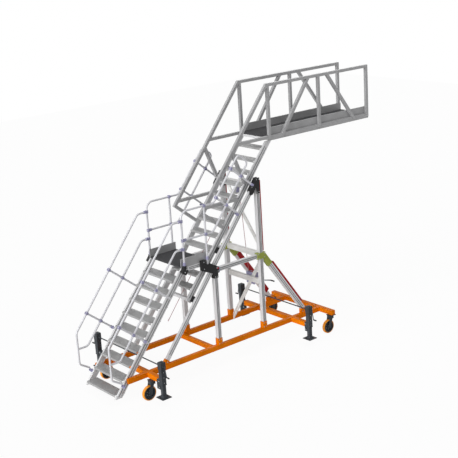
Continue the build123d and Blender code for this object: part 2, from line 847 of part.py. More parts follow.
def rope():
    """Run up from the drum, part of a turn over the sheave, and a run down along the slope."""
    radius = (sheave_diameter + rope_diameter) / 2
    centre = Vector(sheave_x, 0, sheave_z)
    rear = centre + Vector(radius, 0, 0)
    front = centre + Vector(-slope_sin, 0, slope_cos) * radius
    halfway = math.radians((90 + stair_angle) / 2)
    middle = centre + Vector(math.cos(halfway), 0, math.sin(halfway)) * radius
    drum = Vector(winch_x - (drum_diameter + rope_diameter) / 2 - rope_seat, rope_drum_y, winch_z)
    along = sheave_x * slope_cos + sheave_z * slope_sin - rope_tail_u
    tail = front - Vector(slope_cos, 0, slope_sin) * along
    over = sweep(Plane(origin=rear, z_dir=(0, 0, 1)) * Circle(rope_diameter / 2),
                 path=ThreePointArc(rear, middle, front))
    return round_bar(drum, rear, rope_diameter) + over + round_bar(front, tail, rope_diameter)


# Write every node

os.makedirs("parts", exist_ok=True)
save("chassis_rails", *[chassis_rail(side) for side in sides])
save("sockets", *[socket for side in sides for socket in sockets(side)])
save("cross_beams", *cross_beam(front_beam_x, beam_width, front_beam_reach), *cross_beam(mid_tie_x, mid_tie_width, 0),
     *cross_beam(jack_beam_x, beam_width, jack_beam_reach), rear_beam())
save("mid_posts", *[upright(side, mid_post_x, mid_post_top) for side in sides])
save("rear_posts", *[upright(side, rear_post_x, rear_post_top) for side in sides])
save("guides", *[guide(side) for side in sides])
save("mid_brackets", *[mid_bracket(side) for side in sides])
save("top_brackets", *[top_bracket(side) for side in sides])
save("struts", *[strut(side) for side in sides])
save("post_joints", *[post_joint(side) for side in sides])
save("rear_braces", *[rear_brace(side) for side in sides])
save("guard_strips", *guard_strips())
save("rear_crosses", *rear_crosses())
save("rear_diagonals", *rear_diagonals())
save("fixed_stringers", *[fixed_stringer(side) for side in sides])
save("fixed_treads", *fixed_treads())
save("landing_deck", landing_deck())
save("landing_toe_boards", *[toe_board(side) for side in sides])
save("stair_handrails", *[stair_handrail(side) for side in sides])
save("landing_handrails", *[landing_handrail(side) for side in sides])
save("landing_beams", *landing_beams())
save("landing_brackets", *[landing_bracket(side) for side in sides])
save("handrail_clamps", *[clamp for side in sides for clamp in handrail_clamps(side)])
save("winch_drum", winch_drum())
save("winch_frame", winch_frame())
save("winch_crank", winch_crank())
save("sheave", sheave())
save("sheave_bracket", sheave_bracket())
save("rope", rope())
save("sliding_stringers", *[sliding_stringer(side) for side in sides])
save("sliding_treads", *sliding_tread_set())
save("sliding_foot_bar", foot_cross())
save("slider_blocks", *sliders())
save("walkway_side_frames", *[side_frame(side) for side in sides])
save("walkway_deck", walkway_deck())
save("walkway_toe_boards", *[walkway_toe(side) for side in sides])
save("walkway_crosses", *walkway_crosses())

jack_places = {"front_right": (front_jack, -1, front_beam_x, front_beam_reach),
               "front_left": (front_jack, 1, front_beam_x, front_beam_reach),
               "rear_right": (rear_jack, -1, jack_beam_x, jack_beam_reach),
               "rear_left": (rear_jack, 1, jack_beam_x, jack_beam_reach)}
save("jack_bodies", *[jack_body(spot[0], side, side * spot[1]) for spot, side, beam, reach in jack_places.values()])
save("jack_brackets", *[jack_bracket(beam, reach, spot[0], spot[1], side)
                        for spot, side, beam, reach in jack_places.values()])
save("jack_shafts", *[jack_shaft(*spot) for spot in (front_jack, rear_jack)])
save("jack_cranks", *[jack_crank(spot[0], side * spot[1], side) for spot, side, beam, reach in jack_places.values()])
for name, (spot, side, beam, reach) in jack_places.items():
    save(f"jack_leg_{name}", jack_leg_solid(spot[0], side * spot[1]))

caster_places = {"front_right": (front_caster, -1), "front_left": (front_caster, 1),
                 "rear_right": (rear_caster, -1), "rear_left": (rear_caster, 1)}
save("caster_plates", *[caster_plate_solid(spot[0], side * spot[1]) for spot, side in caster_places.values()])
for name, (spot, side) in caster_places.items():
    save(f"caster_fork_{name}", caster_fork(spot[0], side * spot[1]))
    save(f"wheel_hub_{name}", wheel_hub(spot[0], side * spot[1]))
    save(f"tyre_{name}", wheel_tyre(spot[0], side * spot[1]))
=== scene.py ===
"""Looks of a wing access stand: finishes, fasteners, rope and rubber around its metal frame."""

import math
from collections import namedtuple

import bmesh
import bpy
from bpy.props import FloatProperty, FloatVectorProperty, PointerProperty
from mathutils import Matrix, Vector
from mathutils.bvhtree import BVHTree


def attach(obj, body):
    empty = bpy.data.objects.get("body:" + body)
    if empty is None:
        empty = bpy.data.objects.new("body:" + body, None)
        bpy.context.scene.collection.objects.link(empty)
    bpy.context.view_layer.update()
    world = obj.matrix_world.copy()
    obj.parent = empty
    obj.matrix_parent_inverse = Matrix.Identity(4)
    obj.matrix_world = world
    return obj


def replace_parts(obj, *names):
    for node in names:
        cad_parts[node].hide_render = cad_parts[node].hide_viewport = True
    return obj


bl_info = {
    "name": "Wing Access Stand",
    "version": (1, 0, 0),
    "blender": (4, 5, 0),
    "location": "View3D > Sidebar > Access Stand",
    "description": "Finishes and small parts of a wheeled wing access stand",
    "category": "Object",
}

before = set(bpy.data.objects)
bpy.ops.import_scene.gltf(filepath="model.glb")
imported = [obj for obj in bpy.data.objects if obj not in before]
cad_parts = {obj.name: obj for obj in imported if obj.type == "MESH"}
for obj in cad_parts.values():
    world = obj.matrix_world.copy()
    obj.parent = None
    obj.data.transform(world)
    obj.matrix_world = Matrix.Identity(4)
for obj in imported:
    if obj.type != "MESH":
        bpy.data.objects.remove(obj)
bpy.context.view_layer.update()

# Angles of the stairs and of the rear braces, and the stand's sides and ends
SLOPE = math.radians(50.65)
BRACE_TILT = math.radians(54.3)
SIDES = {"right": -1, "left": 1}
ENDS = ("front", "rear")


# Sizes and colours that a user would change

def colour_choice(name, description, default):
    return FloatVectorProperty(name=name, description=description, subtype="COLOR", default=default,
                               min=0, max=1)


class StandColours(bpy.types.PropertyGroup):
    """Paint and metal colours"""
    chassis: colour_choice("Chassis", "Paint of the chassis tubes", (0.84, 0.205, 0.0))
    profile: colour_choice("Profile", "Extruded aluminium of posts, guides and stringers", (0.69, 0.69, 0.70))
    tread: colour_choice("Tread", "Stair treads", (0.34, 0.34, 0.34))
    deck: colour_choice("Deck", "Anti-slip covering of landing and walkway", (0.050, 0.050, 0.053))
    handrail: colour_choice("Handrail", "Round handrail tube", (0.63, 0.63, 0.66))
    fitting: colour_choice("Fittings", "Handrail clamps and winch", (0.36, 0.35, 0.52))
    bracket: colour_choice("Brackets", "Black cast brackets", (0.014, 0.014, 0.015))
    joint: colour_choice("Post joints", "Painted joints of posts and braces", (0.36, 0.41, 0.08))
    guard: colour_choice("Guards", "Red guard strips", (0.38, 0.002, 0.006))
    pale: colour_choice("Cross tubes", "Pale tubes and bars between the rear posts", (0.88, 0.88, 0.86))
    jack: colour_choice("Jacks", "Paint of the jacks", (0.045, 0.052, 0.060))
    tyre: colour_choice("Tyres", "Rubber of the wheels", (0.84, 0.30, 0.005))
    hub: colour_choice("Hubs", "Wheel hubs", (0.030, 0.038, 0.046))
    rope: colour_choice("Rope", "Winch rope", (0.40, 0.13, 0.15))


class StandSizes(bpy.types.PropertyGroup):
    """Sizes of small parts and of the view"""
    edge: FloatProperty(name="Edge radius", description="Rounding shown on painted edges", default=0.003,
                        min=0.0, unit="LENGTH")
    lens: FloatProperty(name="Lens", description="Focal length of the camera", default=81.9, min=10,
                        unit="CAMERA")
    sun: FloatProperty(name="Key light", description="Strength of the key light", default=2.6, min=0)
    sky: FloatProperty(name="Fill light", description="Strength of the even fill light", default=0.24, min=0)


def colours():
    return bpy.context.scene.stand_colours


def sizes():
    return bpy.context.scene.stand_sizes


# Shader node groups

BLACK = (0.0, 0.0, 0.0)
LINE_TONE = (0.12, 0.12, 0.13)
WORN_TONE = (0.75, 0.75, 0.76)
NOISE_ROUGHNESS = 0.55


def group_socket(tree, name, in_out, kind, value=None):
    socket = tree.interface.new_socket(name=name, in_out=in_out, socket_type=kind)
    if value is not None:
        socket.default_value = value


def new_group(name, inputs):
    """Shader group and its two end nodes; each group gives a colour, a roughness and a height."""
    tree = bpy.data.node_groups.new(name, "ShaderNodeTree")
    for label, kind, value in inputs:
        group_socket(tree, label, "INPUT", kind, value)
    group_socket(tree, "Vector", "INPUT", "NodeSocketVector")
    group_socket(tree, "Colour", "OUTPUT", "NodeSocketColor")
    group_socket(tree, "Roughness", "OUTPUT", "NodeSocketFloat")
    group_socket(tree, "Height", "OUTPUT", "NodeSocketFloat")
    return tree, tree.nodes.new("NodeGroupInput"), tree.nodes.new("NodeGroupOutput")


def end_group(tree, end, colour, roughness, height):
    for label, value in (("Colour", colour), ("Roughness", roughness), ("Height", height)):
        tree.links.new(value, end.inputs[label])
    return tree


def feed(tree, value, socket):
    """Link a value that is a socket, or set a plain colour or number."""
    if isinstance(value, bpy.types.NodeSocket):
        tree.links.new(value, socket)
    elif socket.type == "RGBA":
        socket.default_value = (*value[:3], 1.0)
    else:
        socket.default_value = value


def noise(tree, vector, scale, detail):
    node = tree.nodes.new("ShaderNodeTexNoise")
    node.inputs["Detail"].default_value = detail
    node.inputs["Roughness"].default_value = NOISE_ROUGHNESS
    feed(tree, scale, node.inputs["Scale"])
    feed(tree, vector, node.inputs["Vector"])
    return node.outputs["Fac"]


def remap(tree, value, source, target):
    """Value moved from one range of (low, high) to another."""
    node = tree.nodes.new("ShaderNodeMapRange")
    for label, number in zip(("From Min", "From Max", "To Min", "To Max"), (*source, *target)):
        node.inputs[label].default_value = number
    tree.links.new(value, node.inputs["Value"])
    return node.outputs["Result"]


def blend_colours(tree, factor, first, second):
    node = tree.nodes.new("ShaderNodeMix")
    node.data_type = "RGBA"
    for value, socket in ((factor, node.inputs[0]), (first, node.inputs[6]), (second, node.inputs[7])):
        feed(tree, value, socket)
    return node.outputs[2]


def math_node(tree, operation, first, second):
    node = tree.nodes.new("ShaderNodeMath")
    node.operation = operation
    feed(tree, first, node.inputs[0])
    feed(tree, second, node.inputs[1])
    return node.outputs[0]


def paint_group():
    """Sprayed paint: faint cloudy tone, fine orange peel and specks of dust."""
    tree, start, end = new_group("Sprayed paint", [("Colour", "NodeSocketColor", (0.5, 0.5, 0.5, 1)),
                                                   ("Dust colour", "NodeSocketColor", (0.35, 0.32, 0.28, 1)),
                                                   ("Dust", "NodeSocketFloat", 0.12)])
    vector = start.outputs["Vector"]
    cloud = noise(tree, vector, scale=3.2, detail=4.0)
    speckle = noise(tree, vector, scale=95.0, detail=2.0)
    peel = noise(tree, vector, scale=420.0, detail=1.0)
    shade = remap(tree, cloud, (0.35, 0.65), (0.0, 0.16))
    tone = blend_colours(tree, shade, start.outputs["Colour"], BLACK)
    specks = remap(tree, speckle, (0.52, 0.68), (0.0, 1.0))
    dust = math_node(tree, "MULTIPLY", specks, start.outputs["Dust"])
    dusty = blend_colours(tree, dust, tone, start.outputs["Dust colour"])
    return end_group(tree, end, dusty, remap(tree, cloud, (0.3, 0.7), (0.30, 0.48)), peel)


def drawn_metal_group():
    """Extruded aluminium: fine die lines along the bar and a soft change of tone."""
    tree, start, end = new_group("Drawn metal", [("Colour", "NodeSocketColor", (0.5, 0.5, 0.5, 1)),
                                                 ("Lines", "NodeSocketFloat", 0.10)])
    stretch = tree.nodes.new("ShaderNodeMapping")
    stretch.inputs["Scale"].default_value = (0.6, 160.0, 160.0)
    tree.links.new(start.outputs["Vector"], stretch.inputs["Vector"])
    lines = noise(tree, stretch.outputs["Vector"], scale=1.0, detail=3.0)
    cloud = noise(tree, start.outputs["Vector"], scale=4.5, detail=4.0)
    dark = math_node(tree, "MULTIPLY", remap(tree, lines, (0.35, 0.7), (0.0, 1.0)), start.outputs["Lines"])
    streaked = blend_colours(tree, dark, start.outputs["Colour"], LINE_TONE)
    tone = blend_colours(tree, remap(tree, cloud, (0.4, 0.7), (0.0, 0.12)), streaked, WORN_TONE)
    return end_group(tree, end, tone, remap(tree, lines, (0.3, 0.7), (0.30, 0.46)), lines)


def grit_group():
    """Coarse surface: cast iron, rubber or anti-slip covering, by scale."""
    tree, start, end = new_group("Grit", [("Colour", "NodeSocketColor", (0.1, 0.1, 0.1, 1)),
                                          ("High colour", "NodeSocketColor", (0.2, 0.2, 0.2, 1)),
                                          ("Scale", "NodeSocketFloat", 300.0),
                                          ("Roughness", "NodeSocketFloat", 0.7)])
    high = start.outputs["High colour"]
    grains = noise(tree, start.outputs["Vector"], scale=start.outputs["Scale"], detail=2.0)
    cloud = noise(tree, start.outputs["Vector"], scale=6.0, detail=4.0)
    worn = blend_colours(tree, remap(tree, grains, (0.45, 0.72), (0.0, 0.55)), start.outputs["Colour"], high)
    tone = blend_colours(tree, remap(tree, cloud, (0.45, 0.75), (0.0, 0.2)), worn, high)
    change = remap(tree, cloud, (0.3, 0.7), (-0.06, 0.08))
    rough = math_node(tree, "ADD", start.outputs["Roughness"], change)
    return end_group(tree, end, tone, rough, grains)


GROUPS = {}


def shared_group(kind):
    makers = {"paint": paint_group, "drawn": drawn_metal_group, "grit": grit_group}
    if kind not in GROUPS:
        GROUPS[kind] = makers[kind]()
    return GROUPS[kind]


# Materials

def surface(name, kind, values, bump, bump_distance=0.0004, metallic=0.0, tilt=0.0, turn=0.0, coat=0.0,
            gloss=0.4):
    """Principled material fed by one shared group; tilt and turn lay the pattern along a bar, in radians."""
    material = bpy.data.materials.new(name)
    material.use_nodes = True
    tree = material.node_tree
    shader = tree.nodes["Principled BSDF"]
    shader.inputs["Metallic"].default_value = metallic
    shader.inputs["Coat Weight"].default_value = coat
    shader.inputs["Specular IOR Level"].default_value = gloss
    place = tree.nodes.new("ShaderNodeTexCoord")
    mapping = tree.nodes.new("ShaderNodeMapping")
    mapping.inputs["Rotation"].default_value = (0.0, tilt, turn)
    tree.links.new(place.outputs["Object"], mapping.inputs["Vector"])
    group = tree.nodes.new("ShaderNodeGroup")
    group.node_tree = shared_group(kind)
    for label, value in values.items():
        feed(tree, value, group.inputs[label])
    tree.links.new(mapping.outputs["Vector"], group.inputs["Vector"])
    tree.links.new(group.outputs["Colour"], shader.inputs["Base Color"])
    tree.links.new(group.outputs["Roughness"], shader.inputs["Roughness"])
    edge = tree.nodes.new("ShaderNodeBevel")
    edge.samples = 4
    edge.inputs["Radius"].default_value = sizes().edge
    relief = tree.nodes.new("ShaderNodeBump")
    relief.inputs["Strength"].default_value = bump
    relief.inputs["Distance"].default_value = bump_distance
    tree.links.new(group.outputs["Height"], relief.inputs["Height"])
    tree.links.new(edge.outputs["Normal"], relief.inputs["Normal"])
    tree.links.new(relief.outputs["Normal"], shader.inputs["Normal"])
    return material


def paint(name, colour, dust=0.05, coat=0.0, gloss=0.1):
    return surface(name, "paint", {"Colour": colour, "Dust": dust}, bump=0.12, coat=coat, gloss=gloss)


def drawn(name, colour, tilt=0.0, turn=0.0, lines=0.10, metallic=0.1):
    return surface(name, "drawn", {"Colour": colour, "Lines": lines}, bump=0.1, metallic=metallic, tilt=tilt,
                   turn=turn)


def grit(name, colour, high, scale, roughness, bump=0.35):
    values = {"Colour": colour, "High colour": high, "Scale": scale, "Roughness": roughness}
    return surface(name, "grit", values, bump=bump, bump_distance=0.0008, gloss=0.15)


def lighter(colour, by):
    return tuple(value + (1.0 - value) * by for value in colour[:3])


def darker(colour, by):
    return tuple(value * (1.0 - by) for value in colour[:3])


MATERIALS = {}

# Turn of the drawn lines for a bar that runs upright, and for one that runs across the stand
UPRIGHT = math.radians(90)
ACROSS = math.radians(90)

# Dark grey of the strips that paint the shade inside the profiles' slots, and lighter flecks in that painted
# shade
SLOT_SHADE_GREY = (0.13, 0.132, 0.138)
SLOT_SHADE_FLECKS = (0.18, 0.18, 0.18)
NYLON_WHITE = (0.62, 0.62, 0.62)
NYLON_WORN = (0.75, 0.75, 0.75)
ZINC_PLATE = (0.30, 0.32, 0.34)
ZINC_SCREW = (0.42, 0.43, 0.44)


def make_materials():
    """Every finish of the stand, by the part that has it."""
    tint = colours()
    MATERIALS.update({
        "chassis": paint("Chassis paint", tint.chassis, dust=0.03, gloss=0.03),
        "upright": drawn("Upright profile", tint.profile, tilt=UPRIGHT),
        "slope": drawn("Sloping profile", tint.profile, tilt=SLOPE),
        "brace": drawn("Brace profile", tint.profile, tilt=-BRACE_TILT),
        "level": drawn("Level profile", tint.profile),
        "across": drawn("Cross profile", tint.profile, turn=ACROSS),
        "tread": drawn("Tread plank", tint.tread, turn=ACROSS, lines=0.18),
        "deck": grit("Anti-slip deck", tint.deck, lighter(tint.deck, 0.05), scale=420.0, roughness=0.82),
        # Painted shade: toe boards and walkway frames take the profile's colour darkened, for the shade on
        # their faces turned from the key light
        "toe": drawn("Toe board with painted shade", darker(tint.profile, 0.50), lines=0.08),
        "walk": drawn("Walkway profile with painted shade", darker(tint.profile, 0.46)),
        "handrail": drawn("Handrail tube", tint.handrail, lines=0.05, metallic=0.15),
        "fitting": paint("Fitting paint", tint.fitting),
        "bracket": grit("Black casting", tint.bracket, lighter(tint.bracket, 0.06), scale=520.0,
                        roughness=0.55),
        "joint": paint("Joint paint", tint.joint),
        "guard": paint("Guard paint", tint.guard, dust=0.04, coat=0.1),
        "pale": paint("Pale paint", tint.pale, dust=0.03),
        "jack": paint("Jack paint", tint.jack, coat=0.05),
        "zinc": drawn("Zinc plate", ZINC_PLATE, lines=0.2, metallic=0.6),
        "hub": grit("Hub moulding", tint.hub, lighter(tint.hub, 0.06), scale=260.0, roughness=0.5, bump=0.1),
        "tyre": grit("Tyre rubber", tint.tyre, lighter(tint.tyre, 0.15), scale=180.0, roughness=0.62,
                     bump=0.15),
        # Painted shade: dark strips that stand in for the shade inside the profiles' slots
        "slot": grit("Painted slot shade", SLOT_SHADE_GREY, SLOT_SHADE_FLECKS, scale=350.0, roughness=0.6, bump=0.1),
        "screw": drawn("Zinc screw", ZINC_SCREW, lines=0.15, metallic=0.7),
        "rope": drawn("Rope wire", tint.rope, lines=0.3, metallic=0.3),
        "nylon": grit("Sheave nylon", NYLON_WHITE, NYLON_WORN, scale=200.0, roughness=0.5, bump=0.1),
    })


FINISH = {
    "chassis": ["chassis_rails", "cross_beams", "sockets"],
    "upright": ["mid_posts", "rear_posts"],
    "slope": ["fixed_stringers", "sliding_stringers"],
    "brace": ["rear_braces"],
    "level": ["struts", "landing_beams"],
    "walk": ["walkway_side_frames"],
    "across": ["walkway_crosses", "sliding_foot_bar"],
    "toe": ["landing_toe_boards", "walkway_toe_boards"],
    "deck": ["landing_deck", "walkway_deck"],
    "handrail": ["stair_handrails", "landing_handrails"],
    "fitting": ["handrail_clamps", "sheave_bracket"],
    "bracket": ["mid_brackets", "landing_brackets", "top_brackets", "slider_blocks"],
    "joint": ["post_joints"],
    "pale": ["rear_crosses", "rear_diagonals"],
    "jack": ["jack_bodies", "jack_brackets", "jack_shafts", "jack_cranks", "caster_plates"],
    "nylon": ["sheave"],
}


def dress(node, finish):
    """Give a metal node its finish."""
    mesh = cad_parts[node].data
    mesh.materials.clear()
    mesh.materials.append(MATERIALS[finish])


class STAND_OT_metalwork(bpy.types.Operator):
    """Give every metal part of the stand its finish"""
    bl_idname = "stand.metalwork"
    bl_label = "Metalwork finishes"

    def execute(self, context):
        for finish, nodes in FINISH.items():
            for node in nodes:
                dress(node, finish)
        for end in ENDS:
            for side in SIDES:
                dress(f"jack_leg_{end}_{side}", "jack")
                dress(f"caster_fork_{end}_{side}", "jack")
        return {"FINISHED"}


# Shapes, drawn in millimetres

MM = 0.001
WIRE_SIDES = 6
CHAMFER = 2
SLOPE_START = -3559.5


def plank(build, outline, low, high):
    """Closed (x, z) outline, run across the stand from low to high."""
    first, last = [[build.verts.new(Vector((x, y, z)) * MM) for x, z in outline] for y in (low, high)]
    build.faces.new(first)
    build.faces.new(reversed(last))
    for here in range(len(outline)):
        there = (here + 1) % len(outline)
        build.faces.new((first[there], first[here], last[here], last[there]))


def mirrored(near, far):
    """Low and high Y of a span, on the right side and on the left one."""
    return [(-far, -near), (near, far)]


def lathe(build, profile, segments, matrix):
    """Closed line of (radius, height) pairs turned about local Z."""
    rings = []
    for step in range(segments):
        angle = 2 * math.pi * step / segments
        places = [Vector((radius * math.cos(angle), radius * math.sin(angle), height)) * MM
                  for radius, height in profile]
        rings.append([build.verts.new(matrix @ place) for place in places])
    for step, here in enumerate(rings):
        there = rings[(step + 1) % segments]
        for low in range(len(profile)):
            high = (low + 1) % len(profile)
            build.faces.new((here[low], there[low], there[high], here[high]))


def bar(build, radius, low, high, segments, matrix):
    """Solid round bar between two heights along local Z."""
    lathe(build, [(0, low), (radius, low), (radius, high), (0, high)], segments, matrix)


def square_lathe(build, profile, place):
    """Closed line of (half width, height) pairs run round an upright square post."""
    corner = math.sqrt(2)
    lathe(build, [(half * corner, height) for half, height in profile], 4, seat(place, turn=math.pi / 4))


def rim(radius, low, high):
    """Outer edge of a disc between two heights, with small chamfers."""
    inner = radius - CHAMFER
    return [(inner, low), (radius, low + CHAMFER), (radius, high - CHAMFER), (inner, high)]


def brick(build, low, high, bevel):
    """Block between two corners, with its edges rounded by bevel."""
    verts = bmesh.ops.create_cube(build, size=1.0)["verts"]
    for vert in verts:
        vert.co = Vector([(high if vert.co[axis] > 0 else low)[axis] for axis in range(3)]) * MM
    edges = {edge for vert in verts for edge in vert.link_edges}
    bmesh.ops.bevel(build, geom=list(edges), offset=bevel * MM, segments=2, affect="EDGES", profile=0.5)


def carried_ways(points):
    """Each point of a line with two ways square to it, carried along without twist."""
    normal = (points[1] - points[0]).orthogonal().normalized()
    for before, point, after in zip([points[0]] + points, points, points[1:] + [points[-1]]):
        way = (after - before).normalized()
        normal = (normal - way * normal.dot(way)).normalized()
        yield point, normal, way.cross(normal)


def sweep(build, points, radius):
    """Round bar along points in metres."""
    rings = []
    for point, normal, side in carried_ways(points):
        ring = []
        for step in range(WIRE_SIDES):
            angle = 2 * math.pi * step / WIRE_SIDES
            off = (normal * math.cos(angle) + side * math.sin(angle)) * radius * MM
            ring.append(build.verts.new(point + off))
        if rings:
            for step in range(WIRE_SIDES):
                turn = (step + 1) % WIRE_SIDES
                build.faces.new((rings[-1][step], rings[-1][turn], ring[turn], ring[step]))
        rings.append(ring)
    build.faces.new(reversed(rings[0]))
    build.faces.new(rings[-1])


def seat(place, way=(0, 0, 1), turn=0.0):
    """Matrix that lays local Z along a way, at a place in millimetres."""
    lay = Vector(way).to_track_quat("Z", "Y").to_matrix().to_4x4()
    return Matrix.Translation(Vector(place) * MM) @ lay @ Matrix.Rotation(turn, 4, "Z")


def axle(x, z, y=0):
    """Matrix that lays local Z across the stand, towards the left."""
    return seat((x, y, z), (0, 1, 0))


def on_slope(u, v):
    """(x, z) of a point u up the slope and v square to it; the first step's edge is the origin of both."""
    return (u * math.cos(SLOPE) - v * math.sin(SLOPE) + SLOPE_START,
            u * math.sin(SLOPE) + v * math.cos(SLOPE))


def round_place(centre, reach, angle):
    """(x, z) at a reach and an angle from a centre."""
    return (centre[0] + reach * math.cos(angle), centre[1] + reach * math.sin(angle))


def strip_outline(start, end, width):
    """Four corners of a flat strip between two (x, z) points."""
    start, end = Vector(start), Vector(end)
    way = (end - start).normalized()
    side = Vector((-way.y, way.x)) * (width / 2)
    return [start + side, end + side, end - side, start - side]


def keep(name, mesh, body, finish, crease=32.0):
    """Make a piece from its mesh: finish, soft shading and body."""
    mesh.materials.clear()
    mesh.materials.append(MATERIALS[finish])
    mesh.shade_smooth()
    mesh.set_sharp_from_angle(angle=math.radians(crease))
    piece = bpy.data.objects.new(name, mesh)
    bpy.context.scene.collection.objects.link(piece)
    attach(piece, body)
    return piece


def mesh_of(name, build):
    """Mesh of the built shape, with its faces outwards."""
    bmesh.ops.recalc_face_normals(build, faces=build.faces)
    mesh = bpy.data.meshes.new(name)
    build.to_mesh(mesh)
    build.free()
    return mesh


def close(name, build, body, finish):
    """Turn the built shape into a piece, with its doubles merged."""
    bmesh.ops.remove_doubles(build, verts=build.verts, dist=0.01 * MM)
    return keep(name, mesh_of(name, build), body, finish)


# Shapes grown by geometry nodes

BOLT_SHARES = {"Head height": 0.7, "Washer radius": 1.3, "Washer height": 0.16}
BOLT_CREASE = 28.0
WELD_BEADS = {"Pitch": 0.0055, "Bead size": 0.0048}
WELD_CREASE = 60.0


def node_tree(name, inputs):
    """Geometry tree with its named inputs, and its two end nodes."""
    tree = bpy.data.node_groups.new(name, "GeometryNodeTree")
    group_socket(tree, "Geometry", "INPUT", "NodeSocketGeometry")
    group_socket(tree, "Geometry", "OUTPUT", "NodeSocketGeometry")
    for label, value in inputs.items():
        kind = "NodeSocketInt" if isinstance(value, int) else "NodeSocketFloat"
        group_socket(tree, label, "INPUT", kind, value)
    group_socket(tree, "Material", "INPUT", "NodeSocketMaterial")
    return tree, tree.nodes.new("NodeGroupInput"), tree.nodes.new("NodeGroupOutput")


def add_node(tree, kind, settings=(), links=()):
    """New node with settings for its sockets or properties, and links into its named sockets."""
    node = tree.nodes.new(kind)
    for label, value in settings:
        if label in node.inputs:
            node.inputs[label].default_value = value
        else:
            setattr(node, label, value)
    for label, source in links:
        tree.links.new(source, node.inputs[label])
    return node


def end_tree(tree, start, end, geometry):
    """Real mesh and material at the end of a tree."""
    real = add_node(tree, "GeometryNodeRealizeInstances", links=[("Geometry", geometry)])
    coat = add_node(tree, "GeometryNodeSetMaterial",
                    links=[("Geometry", real.outputs[0]), ("Material", start.outputs["Material"])])
    tree.links.new(coat.outputs[0], end.inputs["Geometry"])
    return tree


def fastener_tree():
    """Hexagon head on a washer, with the bolt's end, at each point that has facing and size."""
    tree, start, end = node_tree("Hexagon fasteners", BOLT_SHARES)
    join = tree.nodes.new("GeometryNodeJoinGeometry")
    layers = ((6, 1.0, None, "Head height", 0.35), (14, 0.5, "Washer radius", "Washer height", 0.08),
              (10, 0.5, None, None, 0.8))
    for sides, plain_radius, radius, depth, lift in layers:
        disc = add_node(tree, "GeometryNodeMeshCylinder",
                        [("Vertices", sides), ("Radius", plain_radius), ("Depth", 0.25)])
        for label, source in (("Radius", radius), ("Depth", depth)):
            if source:
                tree.links.new(start.outputs[source], disc.inputs[label])
        raised = add_node(tree, "GeometryNodeTransform", [("Translation", (0.0, 0.0, lift))],
                          [("Geometry", disc.outputs["Mesh"])])
        tree.links.new(raised.outputs[0], join.inputs[0])
    facing, size = [add_node(tree, "GeometryNodeInputNamedAttribute", [("data_type", kind), ("Name", label)])
                    for kind, label in (("FLOAT_VECTOR", "facing"), ("FLOAT", "size"))]
    turn = add_node(tree, "FunctionNodeAlignRotationToVector", [("axis", "Z")],
                    [("Vector", facing.outputs[0])])
    copies = add_node(tree, "GeometryNodeInstanceOnPoints",
                      links=[("Points", start.outputs["Geometry"]), ("Instance", join.outputs[0]),
                             ("Rotation", turn.outputs[0]), ("Scale", size.outputs[0])])
    return end_tree(tree, start, end, copies.outputs[0])


def weld_tree():
    """Overlapping beads of weld along the edges of a mesh."""
    tree, start, end = node_tree("Weld beads", WELD_BEADS)
    path = add_node(tree, "GeometryNodeMeshToCurve", links=[("Mesh", start.outputs["Geometry"])])
    steps = add_node(tree, "GeometryNodeResampleCurve", [("mode", "LENGTH")],
                     [("Curve", path.outputs[0]), ("Length", start.outputs["Pitch"])])
    bead = add_node(tree, "GeometryNodeMeshIcoSphere", [("Subdivisions", 1)],
                    [("Radius", start.outputs["Bead size"])])
    copies = add_node(tree, "GeometryNodeInstanceOnPoints",
                      links=[("Points", steps.outputs[0]), ("Instance", bead.outputs["Mesh"])])
    return end_tree(tree, start, end, copies.outputs[0])


def stair_tree():
    """One tread repeated up a stair."""
    tree, start, end = node_tree("Stair treads", {"Steps": 2, "Run": 0.2, "Rise": 0.2})
    offset = add_node(tree, "ShaderNodeCombineXYZ",
                      links=[("X", start.outputs["Run"]), ("Z", start.outputs["Rise"])])
    line = add_node(tree, "GeometryNodeMeshLine",
                    links=[("Count", start.outputs["Steps"]), ("Offset", offset.outputs[0])])
    copies = add_node(tree, "GeometryNodeInstanceOnPoints",
                      links=[("Points", line.outputs[0]), ("Instance", start.outputs["Geometry"])])
    return end_tree(tree, start, end, copies.outputs[0])


def grow(name, mesh, tree, values, body, finish, crease=32.0):
    """Run a tree on a mesh, keep the result as a plain mesh, and make it a piece."""
    carrier = bpy.data.objects.new(name, mesh)
    bpy.context.scene.collection.objects.link(carrier)
    modifier = carrier.modifiers.new(name, "NODES")
    modifier.node_group = tree
    for item in tree.interface.items_tree:
        if item.name in values:
            modifier[item.identifier] = values[item.name]
        elif item.name == "Material":
            modifier[item.identifier] = MATERIALS[finish]
    graph = bpy.context.evaluated_depsgraph_get()
    grown = bpy.data.meshes.new_from_object(carrier.evaluated_get(graph), depsgraph=graph)
    bpy.data.objects.remove(carrier)
    grown.name = name
    return keep(name, grown, body, finish, crease)


# Corners of the chassis, in millimetres

Corner = namedtuple("Corner", "end side x y")


def corners(front, rear):
    """Right and left corner of each end, from its (x, distance from the middle plane)."""
    return [Corner(end, side, x, out * y) for end, (x, y) in zip(ENDS, (front, rear))
            for side, out in SIDES.items()]


CASTERS = corners((-2924.5, 725), (1740.5, 900))
JACKS = corners((-2842.5, 1091), (1010.5, 1081))
WHEEL_HEIGHT = 150


# Treads and guides

Stair = namedtuple("Stair", "name node body steps x z run rise half depth")
STAIRS = [Stair("fixed_stair_treads", "fixed_treads", "chassis", steps=9, x=-3551.449, z=234.4, run=192.196,
                rise=234.4, half=479, depth=240),
          Stair("sliding_stair_treads", "sliding_treads", "walkway", steps=12, x=-1535.795, z=1804.0,
                run=182.8487, rise=223.0, half=399, depth=210)]
TREAD_HEIGHT = 40
TREAD_WALL = 5
TREAD_LIP = 16
NOSE_RADIUS = 12
NOSE_STEPS = 6
TREAD_RIBS = 9
PLAIN_FRONT = 14
PLAIN_REAR = 6
GROOVE_DEPTH = 2.5
RIB_GROOVE = [(0, 0), (1.5, -GROOVE_DEPTH), (6.5, -GROOVE_DEPTH), (8, 0)]


